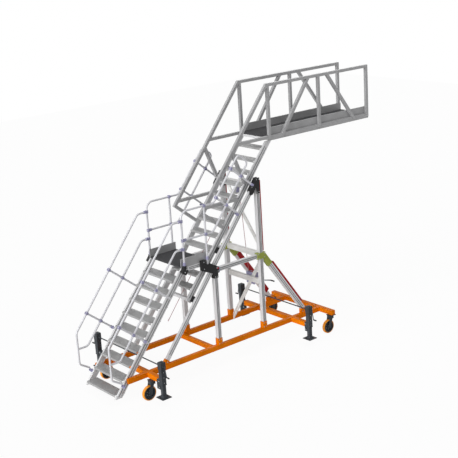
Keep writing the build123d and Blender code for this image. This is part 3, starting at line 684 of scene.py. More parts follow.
def tread_outline(depth):
    """Side view of a tread plank: round nose, ribbed top, and a lip turned in under each edge."""
    top = []
    for step in range(NOSE_STEPS + 1):
        angle = math.pi - step * math.pi / (2 * NOSE_STEPS)
        top.append((NOSE_RADIUS + NOSE_RADIUS * math.cos(angle), NOSE_RADIUS * (math.sin(angle) - 1)))
    pitch = (depth - 2 * NOSE_RADIUS - PLAIN_FRONT - PLAIN_REAR) / TREAD_RIBS
    for rib in range(TREAD_RIBS):
        start = NOSE_RADIUS + PLAIN_FRONT + rib * pitch
        top += [(start + x, z) for x, z in RIB_GROOVE]
    under = -TREAD_WALL - GROOVE_DEPTH
    lip = TREAD_WALL - TREAD_HEIGHT
    rear = [(depth, 0), (depth, -TREAD_HEIGHT), (depth - TREAD_LIP, -TREAD_HEIGHT), (depth - TREAD_LIP, lip),
            (depth - TREAD_WALL, lip), (depth - TREAD_WALL, under)]
    front = [(TREAD_WALL, under), (TREAD_WALL, lip), (TREAD_LIP, lip), (TREAD_LIP, -TREAD_HEIGHT),
             (0, -TREAD_HEIGHT)]
    return top + rear + front


class STAND_OT_treads(bpy.types.Operator):
    """Ribbed channel treads of both stairs"""
    bl_idname = "stand.treads"
    bl_label = "Treads"

    def execute(self, context):
        tree = stair_tree()
        for stair in STAIRS:
            build = bmesh.new()
            outline = [(x + stair.x, z + stair.z) for x, z in tread_outline(stair.depth)]
            plank(build, outline, -stair.half, stair.half)
            steps = {"Steps": stair.steps, "Run": stair.run * MM, "Rise": stair.rise * MM}
            piece = grow(stair.name, mesh_of(stair.name, build), tree, steps, stair.body,
                         "tread")
            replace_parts(piece, stair.node)
        return {"FINISHED"}


GUIDE_OUTLINE = [(-2325.6, 497), (-2442, 497), (125.9, 3628.6), (173.5, 3589.5), (173.5, 3544.7)]
GUIDE_SPAN = (513, 563)


class STAND_OT_guides(bpy.types.Operator):
    """Guides at their full length, from the chassis sockets up to the rear posts"""
    bl_idname = "stand.guides"
    bl_label = "Guides"

    def execute(self, context):
        build = bmesh.new()
        for low, high in mirrored(*GUIDE_SPAN):
            plank(build, GUIDE_OUTLINE, low, high)
        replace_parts(close("guide_profiles", build, "chassis", "slope"), "guides")
        return {"FINISHED"}


# Painted shade in the profile slots, braces and guards

Groove = namedtuple("Groove", "body face start end")
SLOT_WIDTH = 12
SLOT_PROUD = 0.6
SLOT_SINK = 0.2
STRINGER_FACE = 519
GUIDE_FACE = GUIDE_SPAN[1]
SLIDING_FACE = 439
STRUT_FACE = 568
POST_FACE = 578
BRACE_FACE = 563
BRACE_HEAD = (385.5, 1934)


def brace_point(along, off=0):
    """(x, z) of a point down the rear brace and square to it."""
    return (BRACE_HEAD[0] + along * math.cos(BRACE_TILT) + off * math.sin(BRACE_TILT),
            BRACE_HEAD[1] - along * math.sin(BRACE_TILT) + off * math.cos(BRACE_TILT))


def up_slope(body, face, v, low, high):
    return Groove(body, face, on_slope(low, v), on_slope(high, v))


def grooves():
    """Slots along the profiles' outer faces: body, outer face, and both ends as (x, z)."""
    found = [up_slope("chassis", STRINGER_FACE, v, low, high)
             for v, low, high in ((60, 200, 2880), (12, 240, 2920))]
    found += [up_slope("chassis", GUIDE_FACE, v, 1340, 5030) for v in (-572, -616)]
    found += [up_slope("walkway", SLIDING_FACE, v, 2510, 5940) for v in (-488, -536)]
    found += [Groove("chassis", STRINGER_FACE, (-1600, z), (-1160, z)) for z in (2254, 2284)]
    found += [Groove("chassis", STRUT_FACE, (-900, z), (110, z)) for z in (2062, 2094)]
    found += [Groove("chassis", POST_FACE, (x, 640), (x, 1915)) for x in (-1012, -981)]
    found += [Groove("chassis", POST_FACE, (x, low), (x, high)) for x in (203, 234)
              for low, high in ((640, 2008), (2148, 3395))]
    return found + [Groove("chassis", BRACE_FACE, brace_point(135, off), brace_point(1590, off))
                    for off in (-18, 18)]


class STAND_OT_slots(bpy.types.Operator):
    """Dark strips of painted shade in the slots of the profiles"""
    bl_idname = "stand.slots"
    bl_label = "Profile slots"

    def execute(self, context):
        for body in ("chassis", "walkway"):
            build = bmesh.new()
            for groove in grooves():
                if groove.body == body:
                    for low, high in mirrored(groove.face - SLOT_SINK, groove.face + SLOT_PROUD):
                        plank(build, strip_outline(groove.start, groove.end, SLOT_WIDTH), low, high)
            # Each strip paints the shade of a slot's recess
            close(f"slot_shade_strips_{body}", build, body, "slot")
        return {"FINISHED"}


GUARD_SPAN = (518, 558)
FLANK_SPAN = (503, 512.7)
GUARD_THICKNESS = 46
GUARD_HEIGHTS = (2165, 3655)
GUARD_BEVEL = 5
POST_BACK = 263.8
BRACE_BACK = 55.3
FLANK_FRONT = -5


def brace_guard(inner, outer):
    """Side view of a guard on the brace, with both ends cut back."""
    return [brace_point(along, off)
            for along, off in ((140, inner), (150, outer), (1470, outer), (1480, inner))]


class STAND_OT_guards(bpy.types.Operator):
    """Red pads behind the rear posts and the braces"""
    bl_idname = "stand.guards"
    bl_label = "Guards"

    def execute(self, context):
        build = bmesh.new()
        outer = BRACE_BACK + GUARD_THICKNESS
        for pad, flank in zip(mirrored(*GUARD_SPAN), mirrored(*FLANK_SPAN)):
            brick(build, (POST_BACK, pad[0], GUARD_HEIGHTS[0]),
                  (POST_BACK + GUARD_THICKNESS, pad[1], GUARD_HEIGHTS[1]), GUARD_BEVEL)
            plank(build, brace_guard(BRACE_BACK, outer), *pad)
            plank(build, brace_guard(FLANK_FRONT, outer), *flank)
        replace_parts(close("guard_pads", build, "chassis", "guard"), "guard_strips")
        return {"FINISHED"}


BRACE_ARM = [(264, 2143), (313, 2143), (512.6, 1865.2), (410.2, 1791.6), (264, 1995)]
ARM_SPAN = (505, 571)
PLATE_SPAN = (486, 590)
PLATE_X = (-917, -905)
PLATE_Z = (2019, 2137)
PLATE_BEVEL = 2


class STAND_OT_joints(bpy.types.Operator):
    """Arms of the post joints round the heads of the braces, and plates at the struts' front ends"""
    bl_idname = "stand.joints"
    bl_label = "Joint arms and plates"

    def execute(self, context):
        build = bmesh.new()
        for low, high in mirrored(*ARM_SPAN):
            plank(build, BRACE_ARM, low, high)
        close("brace_arms", build, "chassis", "joint")
        build = bmesh.new()
        for low, high in mirrored(*PLATE_SPAN):
            brick(build, (PLATE_X[0], low, PLATE_Z[0]), (PLATE_X[1], high, PLATE_Z[1]), PLATE_BEVEL)
        close("strut_plates", build, "chassis", "fitting")
        return {"FINISHED"}


# Wheels

def both_faces(half):
    """Whole outline of a wheel, from (radius, distance from the middle) pairs of one face."""
    return half + [(radius, -off) for radius, off in reversed(half)]


TYRE_OUTLINE = both_faces([(126, 27), (131, 30), (136, 32), (141, 31.5), (145, 29), (148.5, 24), (150, 17)])
HUB_OUTLINE = both_faces([(12.1, 32), (27, 32), (31, 29), (33, 6), (104, 6), (110, 22), (113, 30), (127, 32),
                          (131, 29), (126.5, 26)])
WHEEL_SIDES = 46
HUB_RIBS = 6
HUB_WEB = 6
RIB_LOW = (30, -4, 5)
RIB_HIGH = (109, 4, 23)
RIB_BEVEL = 1.5


class STAND_OT_wheels(bpy.types.Operator):
    """Tyres with round shoulders on ribbed hubs"""
    bl_idname = "stand.wheels"
    bl_label = "Wheels"

    def execute(self, context):
        for caster in CASTERS:
            corner = f"{caster.end}_{caster.side}"
            lay = axle(caster.x, WHEEL_HEIGHT, caster.y)
            build = bmesh.new()
            lathe(build, TYRE_OUTLINE, WHEEL_SIDES, lay)
            tyre = close(f"caster_tyre_{corner}", build, f"wheel_{corner}", "tyre")
            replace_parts(tyre, f"tyre_{corner}")
            build = bmesh.new()
            lathe(build, HUB_OUTLINE, WHEEL_SIDES, lay)
            for flip in (math.pi, 0.0):
                for rib in range(HUB_RIBS):
                    before = set(build.verts)
                    brick(build, RIB_LOW, RIB_HIGH, RIB_BEVEL)
                    turn = lay @ Matrix.Rotation(2 * math.pi * rib / HUB_RIBS, 4, "Z")
                    turn = turn @ Matrix.Rotation(flip, 4, "X")
                    bmesh.ops.transform(build, matrix=turn, verts=[v for v in build.verts if v not in before])
            hub = close(f"caster_hub_{corner}", build, f"wheel_{corner}", "hub")
            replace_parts(hub, f"wheel_hub_{corner}")
        return {"FINISHED"}


# Winch; its heights are distances along Y

DRUM = (347.5, 1530)
DRUM_CORE = 60
DRUM_RIM = 80
DRUM_BORE = 16
DRUM_SPAN = (-205, -55)
RIM_WIDTH = 12
GEAR_MODULE = 4.5
GEAR_TEETH = 34
GEAR_SPAN = (-229, -209)
TOOTH = ((-0.36, -1.1), (-0.14, 0.9), (0.14, 0.9), (0.36, -1.1))
PINION_TEETH = 14
PINION_SPAN = (-230, -208)
PINION_SHIFT = 62
PINION_GAP = GEAR_MODULE * (GEAR_TEETH + PINION_TEETH) / 2
PINION = (DRUM[0] + PINION_SHIFT, DRUM[1] - math.sqrt(PINION_GAP ** 2 - PINION_SHIFT ** 2))
COLLAR_RADIUS = 26
BRAKE_SPAN = (-262, -240)
BRAKE_RADIUS = 54
RATCHET_TEETH = 12
RATCHET_TOOTH = ((36, 0.02), (45, 0.06))
RATCHET_SPAN = (-292, -282)
PAWL_SPAN = (-291, -283)
CRANK_ARM = 235
CRANK_TIP = (PINION[0] + CRANK_ARM * 0.964, PINION[1] - CRANK_ARM * 0.264)
CRANK_SHAFT = 9
SHAFT_SPAN = (-352, -40)
CRANK_WIDTH = 26
CRANK_SPAN = (-350, -342)
BOSS_SPAN = (-356, -338)
SHAFT_BOSS = 18
TIP_BOSS = 14
HANDLE = 7
HANDLE_SPAN = (-466, -350)
CHEEK = [(244, 1392), (244, 1612), (330, 1612), (392, 1572), (455, 1462), (448, 1402), (420, 1386),
         (262, 1386)]
CHEEK_WALL = 8
WINCH_NEAR = -270
WINCH_FAR = -44
BACK_X = (243.6, 253)
BACK_Z = (1372, 1626)
BACK_OVERHANG = 14
BACK_BEVEL = 3
DRUM_AXLE = [(0, -282), (20, -282), (24, -278), (24, -40), (20, -36), (0, -36)]
GRIP_PITCH = 8
GRIP_GROOVE = ((0, 0), (-1.8, 1.5), (-1.8, 3.5), (0, 5))


def gear_outline(teeth, turn, centre):
    """Spur gear round a centre; each tooth is four (share of the pitch, height in modules) pairs."""
    radius = GEAR_MODULE * teeth / 2
    return [round_place(centre, radius + height * GEAR_MODULE, turn + 2 * math.pi * (tooth + share) / teeth)
            for tooth in range(teeth) for share, height in TOOTH]


def grip_outline(start, end, core, full):
    """Rubber grip with rings round it, between two heights."""
    outer = [(full - 3, start), (full, start + 4)]
    for ring in range(int((end - start - 2 * GRIP_PITCH) / GRIP_PITCH)):
        place = start + GRIP_PITCH * (ring + 1)
        outer += [(full + off, place + lift) for off, lift in GRIP_GROOVE]
    return [(core, start)] + outer + [(full, end - 4), (full - 3, end), (core, end)]


def shape_drum(build):
    """Drum with its two rims, the large gear, and the collar beside it."""
    low, high = DRUM_SPAN
    inner_low, inner_high = low + RIM_WIDTH, high - RIM_WIDTH
    drum = [(DRUM_BORE, low)] + rim(DRUM_RIM, low, inner_low)
    drum += [(DRUM_CORE, inner_low), (DRUM_CORE, inner_high)]
    drum += rim(DRUM_RIM, inner_high, high) + [(DRUM_BORE, high)]
    lathe(build, drum, 48, axle(*DRUM))
    plank(build, gear_outline(GEAR_TEETH, 0, DRUM), *GEAR_SPAN)
    bar(build, COLLAR_RADIUS, BRAKE_SPAN[0], GEAR_SPAN[0], 24, axle(*DRUM))


def shape_frame(build):
    """Two side plates, the back plate that holds them, and the drum's axle."""
    for y in (WINCH_NEAR, WINCH_FAR - CHEEK_WALL):
        plank(build, CHEEK, y, y + CHEEK_WALL)
    brick(build, (BACK_X[0], WINCH_NEAR - BACK_OVERHANG, BACK_Z[0]),
          (BACK_X[1], WINCH_FAR + BACK_OVERHANG, BACK_Z[1]), BACK_BEVEL)
    lathe(build, DRUM_AXLE, 24, axle(*DRUM))


def shape_crank(build):
    """Pinion, shaft, brake disc, ratchet with its pawl, and the crank."""
    lay = axle(*PINION)
    plank(build, gear_outline(PINION_TEETH, math.pi / PINION_TEETH, PINION), *PINION_SPAN)
    bar(build, CRANK_SHAFT, *SHAFT_SPAN, 20, lay)
    low, high = BRAKE_SPAN
    lathe(build, [(CRANK_SHAFT, low)] + rim(BRAKE_RADIUS, low, high) + [(CRANK_SHAFT, high)], 40, lay)
    ratchet = [round_place(PINION, reach, 2 * math.pi * tooth / RATCHET_TEETH + turn)
               for tooth in range(RATCHET_TEETH) for reach, turn in RATCHET_TOOTH]
    plank(build, ratchet, *RATCHET_SPAN)
    pawl = [(centre[0] + x, centre[1] + z) for centre, x, z in
            ((PINION, -12, 44), (PINION, 4, 40), (DRUM, 30, -30), (DRUM, 20, -24))]
    plank(build, pawl, *PAWL_SPAN)
    plank(build, strip_outline(PINION, CRANK_TIP, CRANK_WIDTH), *CRANK_SPAN)
    bar(build, SHAFT_BOSS, *BOSS_SPAN, 24, lay)
    bar(build, TIP_BOSS, *BOSS_SPAN, 24, axle(*CRANK_TIP))
    bar(build, HANDLE, *HANDLE_SPAN, 16, axle(*CRANK_TIP))


class STAND_OT_winch(bpy.types.Operator):
    """Hand winch: drum between side plates, gear pair, ratchet with its pawl, brake and crank"""
    bl_idname = "stand.winch"
    bl_label = "Winch"

    def execute(self, context):
        build = bmesh.new()
        shape_drum(build)
        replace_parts(close("drum_and_gear", build, "chassis", "fitting"), "winch_drum")
        build = bmesh.new()
        shape_frame(build)
        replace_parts(close("winch_side_plates", build, "chassis", "fitting"), "winch_frame")
        build = bmesh.new()
        shape_crank(build)
        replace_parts(close("crank_and_ratchet", build, "chassis", "zinc"), "winch_crank")
        build = bmesh.new()
        grip = grip_outline(start=358, end=462, core=10, full=15)
        lathe(build, grip, 24, seat((CRANK_TIP[0], 0, CRANK_TIP[1]), (0, -1, 0)))
        close("winch_grip", build, "chassis", "bracket")
        return {"FINISHED"}


# Jacks and end caps

JACK_CAP = [(0, 859), (54, 859), (54, 863), (46, 871), (0, 871)]
CAP_BUTTON = [(0, 871), (22, 871), (22, 877), (19, 880), (0, 880)]
CRANK_BOSS = [(9, 54), (24, 54), (24, 62), (20, 66), (9, 66)]
BOSS_LEVEL = 785
JACK_BAND = [(47.5, 0), (51, 2), (51, 12), (47.5, 14)]
BAND_LEVELS = (402, 700)
GRIP_LEVEL = 595
GRIP_REACH = (132, 215)
FOOT_COLLAR = [(37.8, 155.5), (58, 155.5), (56, 161), (39.5, 203), (37.8, 203)]


class STAND_OT_jacks(bpy.types.Operator):
    """Caps, crank bosses and grips of the jacks, and the flared collars of their feet"""
    bl_idname = "stand.jacks"
    bl_label = "Jack details"

    def execute(self, context):
        heads, grips = bmesh.new(), bmesh.new()
        for jack in JACKS:
            out = SIDES[jack.side]
            reach = abs(jack.y)
            foot_place = (jack.x, jack.y, 0)
            square_lathe(heads, JACK_CAP, foot_place)
            lathe(heads, CAP_BUTTON, 24, seat(foot_place))
            lathe(heads, CRANK_BOSS, 24, seat((jack.x, jack.y, BOSS_LEVEL), (0, out, 0)))
            for low in BAND_LEVELS:
                square_lathe(heads, [(half, low + lift) for half, lift in JACK_BAND], foot_place)
            grip = grip_outline(reach + GRIP_REACH[0], reach + GRIP_REACH[1], core=8.8, full=14)
            lathe(grips, grip, 20, seat((jack.x, 0, GRIP_LEVEL), (0, out, 0)))
            foot = bmesh.new()
            square_lathe(foot, FOOT_COLLAR, foot_place)
            corner = f"{jack.end}_{jack.side}"
            close(f"foot_collar_{corner}", foot, f"jack_{corner}", "jack")
        close("jack_heads", heads, "chassis", "jack")
        close("crank_grips", grips, "chassis", "bracket")
        return {"FINISHED"}


CAP_HEIGHTS = (396, 494)
RAIL_CAP_X = (-3269.5, -3264)
RAIL_CAP_SPAN = (499, 577)
BEAM_CAP_X = (1800.5, 1898.5)
BEAM_CAP_SPAN = (962.5, 968)
CAP_BEVEL = 2


class STAND_OT_caps(bpy.types.Operator):
    """Welded plates over the ends of the chassis tubes"""
    bl_idname = "stand.caps"
    bl_label = "End caps"

    def execute(self, context):
        build = bmesh.new()
        low, high = CAP_HEIGHTS
        for rail, beam in zip(mirrored(*RAIL_CAP_SPAN), mirrored(*BEAM_CAP_SPAN)):
            for x, y in ((RAIL_CAP_X, rail), (BEAM_CAP_X, beam)):
                brick(build, (x[0], y[0], low), (x[1], y[1], high), CAP_BEVEL)
        close("end_caps", build, "chassis", "chassis")
        return {"FINISHED"}


# Rope

STRANDS = 6
STRAND_REACH = 3.9
STRAND_RADIUS = 2.15
CORE_RADIUS = 3.6
STRAND_TURN = 95.0
STRAND_STEP = 11.0
SHEAVE = (135.5, 3390)
SHEAVE_REACH = 76
SHEAVE_STEPS = 24
ROPE_TAIL = 3034.5
DRUM_REACH = 66.3
DRUM_TURNS = 9
TURN_STEPS = 40
DRUM_PITCH = 12.3
LAST_TURN_Y = -78
FERRULE = [(0, -4), (6, -4), (8, 2), (8, 48), (6, 54), (0, 54)]
FERRULE_BACK = 46


def bent_point(centre, reach, angle, y):
    """Point of the rope's middle line where it bends round a centre."""
    x, z = round_place(centre, reach, angle)
    return Vector((x, y, z))


def rope_line():
    """Middle line of the rope in millimetres: round the drum, up to the sheave, over it, down the slope."""
    points = []
    for step in range(DRUM_TURNS * TURN_STEPS + 1):
        angle = math.pi - 2 * math.pi * (DRUM_TURNS * TURN_STEPS - step) / TURN_STEPS
        y = LAST_TURN_Y - DRUM_PITCH * (DRUM_TURNS - step / TURN_STEPS)
        points.append(bent_point(DRUM, DRUM_REACH, angle, y))
    rise = Vector((SHEAVE[0] + SHEAVE_REACH, 0, SHEAVE[1])) - points[-1]
    steps = int(rise.length / STRAND_STEP)
    points += [points[-1] + rise * (step / steps) for step in range(1, steps)]
    bend = math.pi / 2 + SLOPE
    points += [bent_point(SHEAVE, SHEAVE_REACH, bend * step / SHEAVE_STEPS, 0)
               for step in range(SHEAVE_STEPS + 1)]
    down = Vector((-math.cos(SLOPE), 0, -math.sin(SLOPE)))
    steps = int(ROPE_TAIL / STRAND_STEP)
    return points + [points[-1] + down * (STRAND_STEP * step) for step in range(1, steps)]


def strand_line(line, strand):
    """Line of one strand, in metres, laid round the rope's middle line."""
    track, run, last = [], 0.0, line[0]
    for point, normal, side in carried_ways(line):
        run += (point - last).length
        last = point
        angle = 2 * math.pi * (strand / STRANDS + run / STRAND_TURN)
        off = normal * math.cos(angle) + side * math.sin(angle)
        track.append((point + off * STRAND_REACH) * MM)
    return track


class STAND_OT_rope(bpy.types.Operator):
    """Stranded rope on the drum, over the sheave and down the slope, with the ferrule at its end"""
    bl_idname = "stand.rope"
    bl_label = "Rope"

    def execute(self, context):
        line = rope_line()
        build = bmesh.new()
        sweep(build, [point * MM for point in line], CORE_RADIUS)
        for strand in range(STRANDS):
            sweep(build, strand_line(line, strand), STRAND_RADIUS)
        way = (line[-1] - line[-2]).normalized()
        lathe(build, FERRULE, 16, seat(line[-1] - way * FERRULE_BACK, way))
        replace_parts(close("rope_strands", build, "chassis", "rope"), "rope")
        return {"FINISHED"}


# Bolts; all but those of the hubs are set where a line meets the metal

Bolts = namedtuple("Bolts", "node way size places")
BESIDE = 700
BESIDE_JACKS = 1300
BETWEEN_STAIRS = 500
BEHIND = 400
BELOW_PLATES = 200
CASTER_TRAIL = 100
HUB_BOLT_CIRCLE = 58
HUB_BOLT_SIZE = 6
SURFACES = {}


def grid(columns, rows):
    """(x, z) of every column and row."""
    return [(x, z) for x in columns for z in rows]


def up_stair(stair, columns, height):
    """(x, z) places that repeat at every step of a stair."""
    return [(x + stair.run * step, height + stair.rise * step)
            for step in range(stair.steps) for x in columns]


def both_sides(node, size, places, start=BESIDE, way=-1):
    """Bolts at (x, z) places of both sides: lines run in from a distance, or out where way is 1."""
    return [Bolts(node, (0, way * out, 0), size, [(x, out * start, z) for x, z in places])
            for out in SIDES.values()]


def chassis_bolts():
    """Bolts by the node they sit on, the way a line runs to meet it, head size, and where the lines start."""
    fixed = STAIRS[0]
    rows = both_sides("post_joints", 9, grid((140, 296), (2036, 2120)))
    rows += both_sides("mid_brackets", 8, [(-1020, 1950), (-972, 1950), (-945, 2060), (-945, 2110),
                                           (-1285, 2325), (-1285, 2180)])
    rows += both_sides("top_brackets", 8, grid((190, 246), (3430, 3690)) + [(60, 3560)])
    rows += both_sides("landing_brackets", 7, [(-1765, 2240), (-1725, 2290)])
    rows += both_sides("sockets", 8, grid((-1028, -965, 187, 250), (525, 605)))
    rows += both_sides("sockets", 8, grid((-2415, -2330, 1320, 1425), (540,)))
    rows += both_sides("fixed_stringers", 6, up_stair(fixed, (-3470, -3400), 214))
    rows += both_sides("landing_beams", 6, grid((-1591, -1400, -1229), (2269,)))
    rows += both_sides("struts", 6, grid((-880, 90), (2078,)))
    jack_columns = sorted({jack.x for jack in JACKS})
    rows += both_sides("jack_bodies", 5, grid(jack_columns, (455, 560, 665)), BESIDE_JACKS)
    for way in (-1, 1):
        places = [(jack.x - way * 200, jack.y - SIDES[jack.side] * y, z)
                  for jack in JACKS for y in (65, 90) for z in (335, 460)]
        rows.append(Bolts("jack_brackets", (way, 0, 0), 8, places))
    plates = [(caster.x + CASTER_TRAIL + x, caster.y + y, BELOW_PLATES)
              for caster in CASTERS for x in (-60, 60) for y in (-60, 60)]
    rows.append(Bolts("caster_plates", (0, 0, 1), 9, plates))
    crosses = [(BEHIND, y, z) for half, levels in ((470, (2060, 2130)), (475, (1470, 1530)))
               for z in levels for y in (-half, half)]
    rows.append(Bolts("rear_crosses", (-1, 0, 0), 7, crosses))
    return rows


def walkway_bolts():
    """Bolts of the parts that slide, listed in the same way."""
    posts = [(x + gap, 4400) for gap in (-14, 14) for x in (1440, 2156, 2870, 3560)]
    rows = both_sides("sliding_stringers", 6, up_stair(STAIRS[1], (-1455, -1400), 1784), BETWEEN_STAIRS)
    rows += both_sides("walkway_side_frames", 7, posts)
    rows += both_sides("walkway_toe_boards", 5, grid(range(850, 3600, 460), (4510, 4600)), 0, way=1)
    return rows


def on_metal(node, origin, way):
    """Where a line from origin, in millimetres, first meets a metal node, and the way that face looks."""
    if node not in SURFACES:
        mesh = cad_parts[node].data
        SURFACES[node] = BVHTree.FromPolygons([vert.co for vert in mesh.vertices],
                                              [face.vertices for face in mesh.polygons])
    place, normal, _, _ = SURFACES[node].ray_cast(Vector(origin) * MM, Vector(way))
    if place is None:
        raise RuntimeError(f"no metal of {node} is met from {tuple(origin)}")
    return place, normal


def metal_marks(rows):
    """Place, facing and size of every bolt of some rows."""
    marks = []
    for row in rows:
        for place in row.places:
            spot, normal = on_metal(row.node, place, row.way)
            if normal.dot(Vector(row.way)) > 0:
                normal = -normal
            marks.append((spot, normal, row.size))
    return marks


def hub_marks(caster):
    """Place, facing and size of the bolts round a wheel hub, on both its faces."""
    marks = []
    for face in (-1, 1):
        for bolt in range(HUB_RIBS):
            angle = 2 * math.pi * (bolt + 0.5) / HUB_RIBS
            x, z = round_place((caster.x, WHEEL_HEIGHT), HUB_BOLT_CIRCLE, angle)
            marks.append((Vector((x, caster.y + face * HUB_WEB, z)) * MM, (0, face, 0), HUB_BOLT_SIZE))
    return marks


def grow_bolts(name, marks, tree, body):
    """Fasteners at marks, on loose points that carry the way each faces and its size."""
    mesh = bpy.data.meshes.new(name)
    mesh.from_pydata([place for place, _, _ in marks], [], [])
    facing = mesh.attributes.new("facing", "FLOAT_VECTOR", "POINT")
    facing.data.foreach_set("vector", [number for _, way, _ in marks for number in way])
    size = mesh.attributes.new("size", "FLOAT", "POINT")
    size.data.foreach_set("value", [width * MM for _, _, width in marks])
    grow(name, mesh, tree, BOLT_SHARES, body, "screw", BOLT_CREASE)


class STAND_OT_fasteners(bpy.types.Operator):
    """Hexagon bolts with washers on brackets, sockets, stringers and plates"""
    bl_idname = "stand.fasteners"
    bl_label = "Fasteners"

    def execute(self, context):
        tree = fastener_tree()
        grow_bolts("fasteners_chassis", metal_marks(chassis_bolts()), tree, "chassis")
        grow_bolts("fasteners_walkway", metal_marks(walkway_bolts()), tree, "walkway")
        for caster in CASTERS:
            corner = f"{caster.end}_{caster.side}"
            grow_bolts(f"hub_bolts_{corner}", hub_marks(caster), tree, f"wheel_{corner}")
        return {"FINISHED"}


# Welds, pins and post feet

Loop = namedtuple("Loop", "axis level low high")
RAIL_Y = 538
RAIL_LEVELS = (395, 495)
RAIL_END = 1799.5
SOCKETS = ((-996.5, 53, 48), (218.5, 53, 48), (-2364.4, 89.6, 33), (1372.8, 100, 33))
BEAM_SEAMS = ((498, -2830.5, 100), (498, -1184.5, 70), (498, 971.5, 100), (578, -2830.5, 100),
              (578, 971.5, 100))


def weld_loops():
    """Rectangles that the welds of the chassis run round: the axis they are square to, and two corners."""
    bottom, top = RAIL_LEVELS
    loops = []
    for side in SIDES.values():
        middle = side * RAIL_Y
        loops += [Loop(2, top, (x - half_x, middle - half_y), (x + half_x, middle + half_y))
                  for x, half_x, half_y in SOCKETS]
        loops += [Loop(1, side * face, (x, bottom), (x + width, top)) for face, x, width in BEAM_SEAMS]
        loops.append(Loop(0, RAIL_END, (middle - 40, bottom), (middle + 40, top)))
    return loops


class STAND_OT_welds(bpy.types.Operator):
    """Weld seams where the chassis tubes and sockets meet"""
    bl_idname = "stand.welds"
    bl_label = "Welds"

    def execute(self, context):
        points, edges = [], []
        for loop in weld_loops():
            first = len(points)
            for across, along in ((loop.low, loop.low), (loop.high, loop.low), (loop.high, loop.high),
                                  (loop.low, loop.high)):
                place = [across[0], along[1]]
                place.insert(loop.axis, loop.level)
                points.append(Vector(place) * MM)
            edges += [(first + corner, first + (corner + 1) % 4) for corner in range(4)]
        mesh = bpy.data.meshes.new("weld_seams")
        mesh.from_pydata(points, edges, [])
        grow("weld_seams", mesh, weld_tree(), WELD_BEADS, "chassis", "chassis", WELD_CREASE)
        return {"FINISHED"}


PIN_PLACE = (-968, 2128)
PIN_FACE = 590
PIN_COLLAR = [(7, -1), (16, -1), (16, 4), (13, 6), (7, 6)]
PIN_KNOB = [(0, 20), (9, 20), (15, 24), (18, 31), (15, 38), (9, 42), (0, 42)]


class STAND_OT_pins(bpy.types.Operator):
    """Locking pins in the middle brackets, with their red knobs"""
    bl_idname = "stand.pins"
    bl_label = "Locking pins"

    def execute(self, context):
        knobs, pins = bmesh.new(), bmesh.new()
        for side in SIDES.values():
            lay = seat((PIN_PLACE[0], side * PIN_FACE, PIN_PLACE[1]), (0, side, 0))
            bar(pins, 7, -20, 24, 16, lay)
            lathe(pins, PIN_COLLAR, 20, lay)
            lathe(knobs, PIN_KNOB, 20, lay)
        close("locking_pins", pins, "chassis", "screw")
        close("pin_knobs", knobs, "chassis", "guard")
        return {"FINISHED"}


HANDRAIL_Y = 560
POST_FOOT = [(20.2, 0), (36, 0), (36, 7), (28, 12), (28, 58), (26, 62), (20.2, 62)]
UPRIGHT_FEET = ((-1743.5, 2370), (-1174.5, 2356))
SLOPING_FEET = ((101, 3592), (-335, 3076), (-2792, 1110), (-3363, 372))


class STAND_OT_feet(bpy.types.Operator):
    """Flanged sockets that hold the feet of the handrail posts"""
    bl_idname = "stand.feet"
    bl_label = "Post feet"

    def execute(self, context):
        build = bmesh.new()
        off_slope = (-math.sin(SLOPE), 0, math.cos(SLOPE))
        for side in SIDES.values():
            for way, feet in (((0, 0, 1), UPRIGHT_FEET), (off_slope, SLOPING_FEET)):
                for x, z in feet:
                    lathe(build, POST_FOOT, 24, seat((x, side * HANDRAIL_Y, z), way))
        close("post_feet", build, "chassis", "fitting")
        return {"FINISHED"}


# Stage, in metres

CAMERA_PLACE = Vector((-13.1035, -15.959, 8.663))
CAMERA_YAW = math.radians(39.124)
CAMERA_PITCH = math.radians(-16.368)
CAMERA_ROLL = math.radians(-3.594)
VIEW_DEPTH = 200
FLOOR_SIZE = 60.0
PAPER_SHARE = 0.94

# Name, share of the key light's strength, angle of the disc, and aim of each lamp
LAMPS = (("key", 1.0, 0.5, (1.0, 0.10, -0.30)), ("over", 0.32, 1.0, (0.1, 0.45, -1.0)),
         ("back", 0.22, 1.0, (-1.0, -0.8, -0.25)))


def camera_matrix():
    """Turn of the camera: yaw from +Y towards +X, then pitch, then roll about the line of sight."""
    reach = math.cos(CAMERA_PITCH)
    forward = Vector((reach * math.sin(CAMERA_YAW), reach * math.cos(CAMERA_YAW), math.sin(CAMERA_PITCH)))
    level = Vector((math.cos(CAMERA_YAW), -math.sin(CAMERA_YAW), 0.0))
    upward = level.cross(forward)
    right = level * math.cos(CAMERA_ROLL) + upward * math.sin(CAMERA_ROLL)
    top = upward * math.cos(CAMERA_ROLL) - level * math.sin(CAMERA_ROLL)
    turn = Matrix((right, top, -forward)).transposed().to_4x4()
    return Matrix.Translation(CAMERA_PLACE) @ turn


def seen_plainly(tree):
    """1 for the rays that show the background: to the camera, off gloss and through glass."""
    path = tree.nodes.new("ShaderNodeLightPath")
    clear = math_node(tree, "MAXIMUM", path.outputs["Is Camera Ray"], path.outputs["Is Transmission Ray"])
    return math_node(tree, "MAXIMUM", clear, path.outputs["Is Glossy Ray"])


def blend_shaders(tree, factor, first, second, target):
    """Mix two shaders by a factor into a socket."""
    mix = tree.nodes.new("ShaderNodeMixShader")
    for source, socket in ((factor, mix.inputs[0]), (first.outputs[0], mix.inputs[1]),
                           (second.outputs[0], mix.inputs[2]), (mix.outputs[0], target)):
        tree.links.new(source, socket)


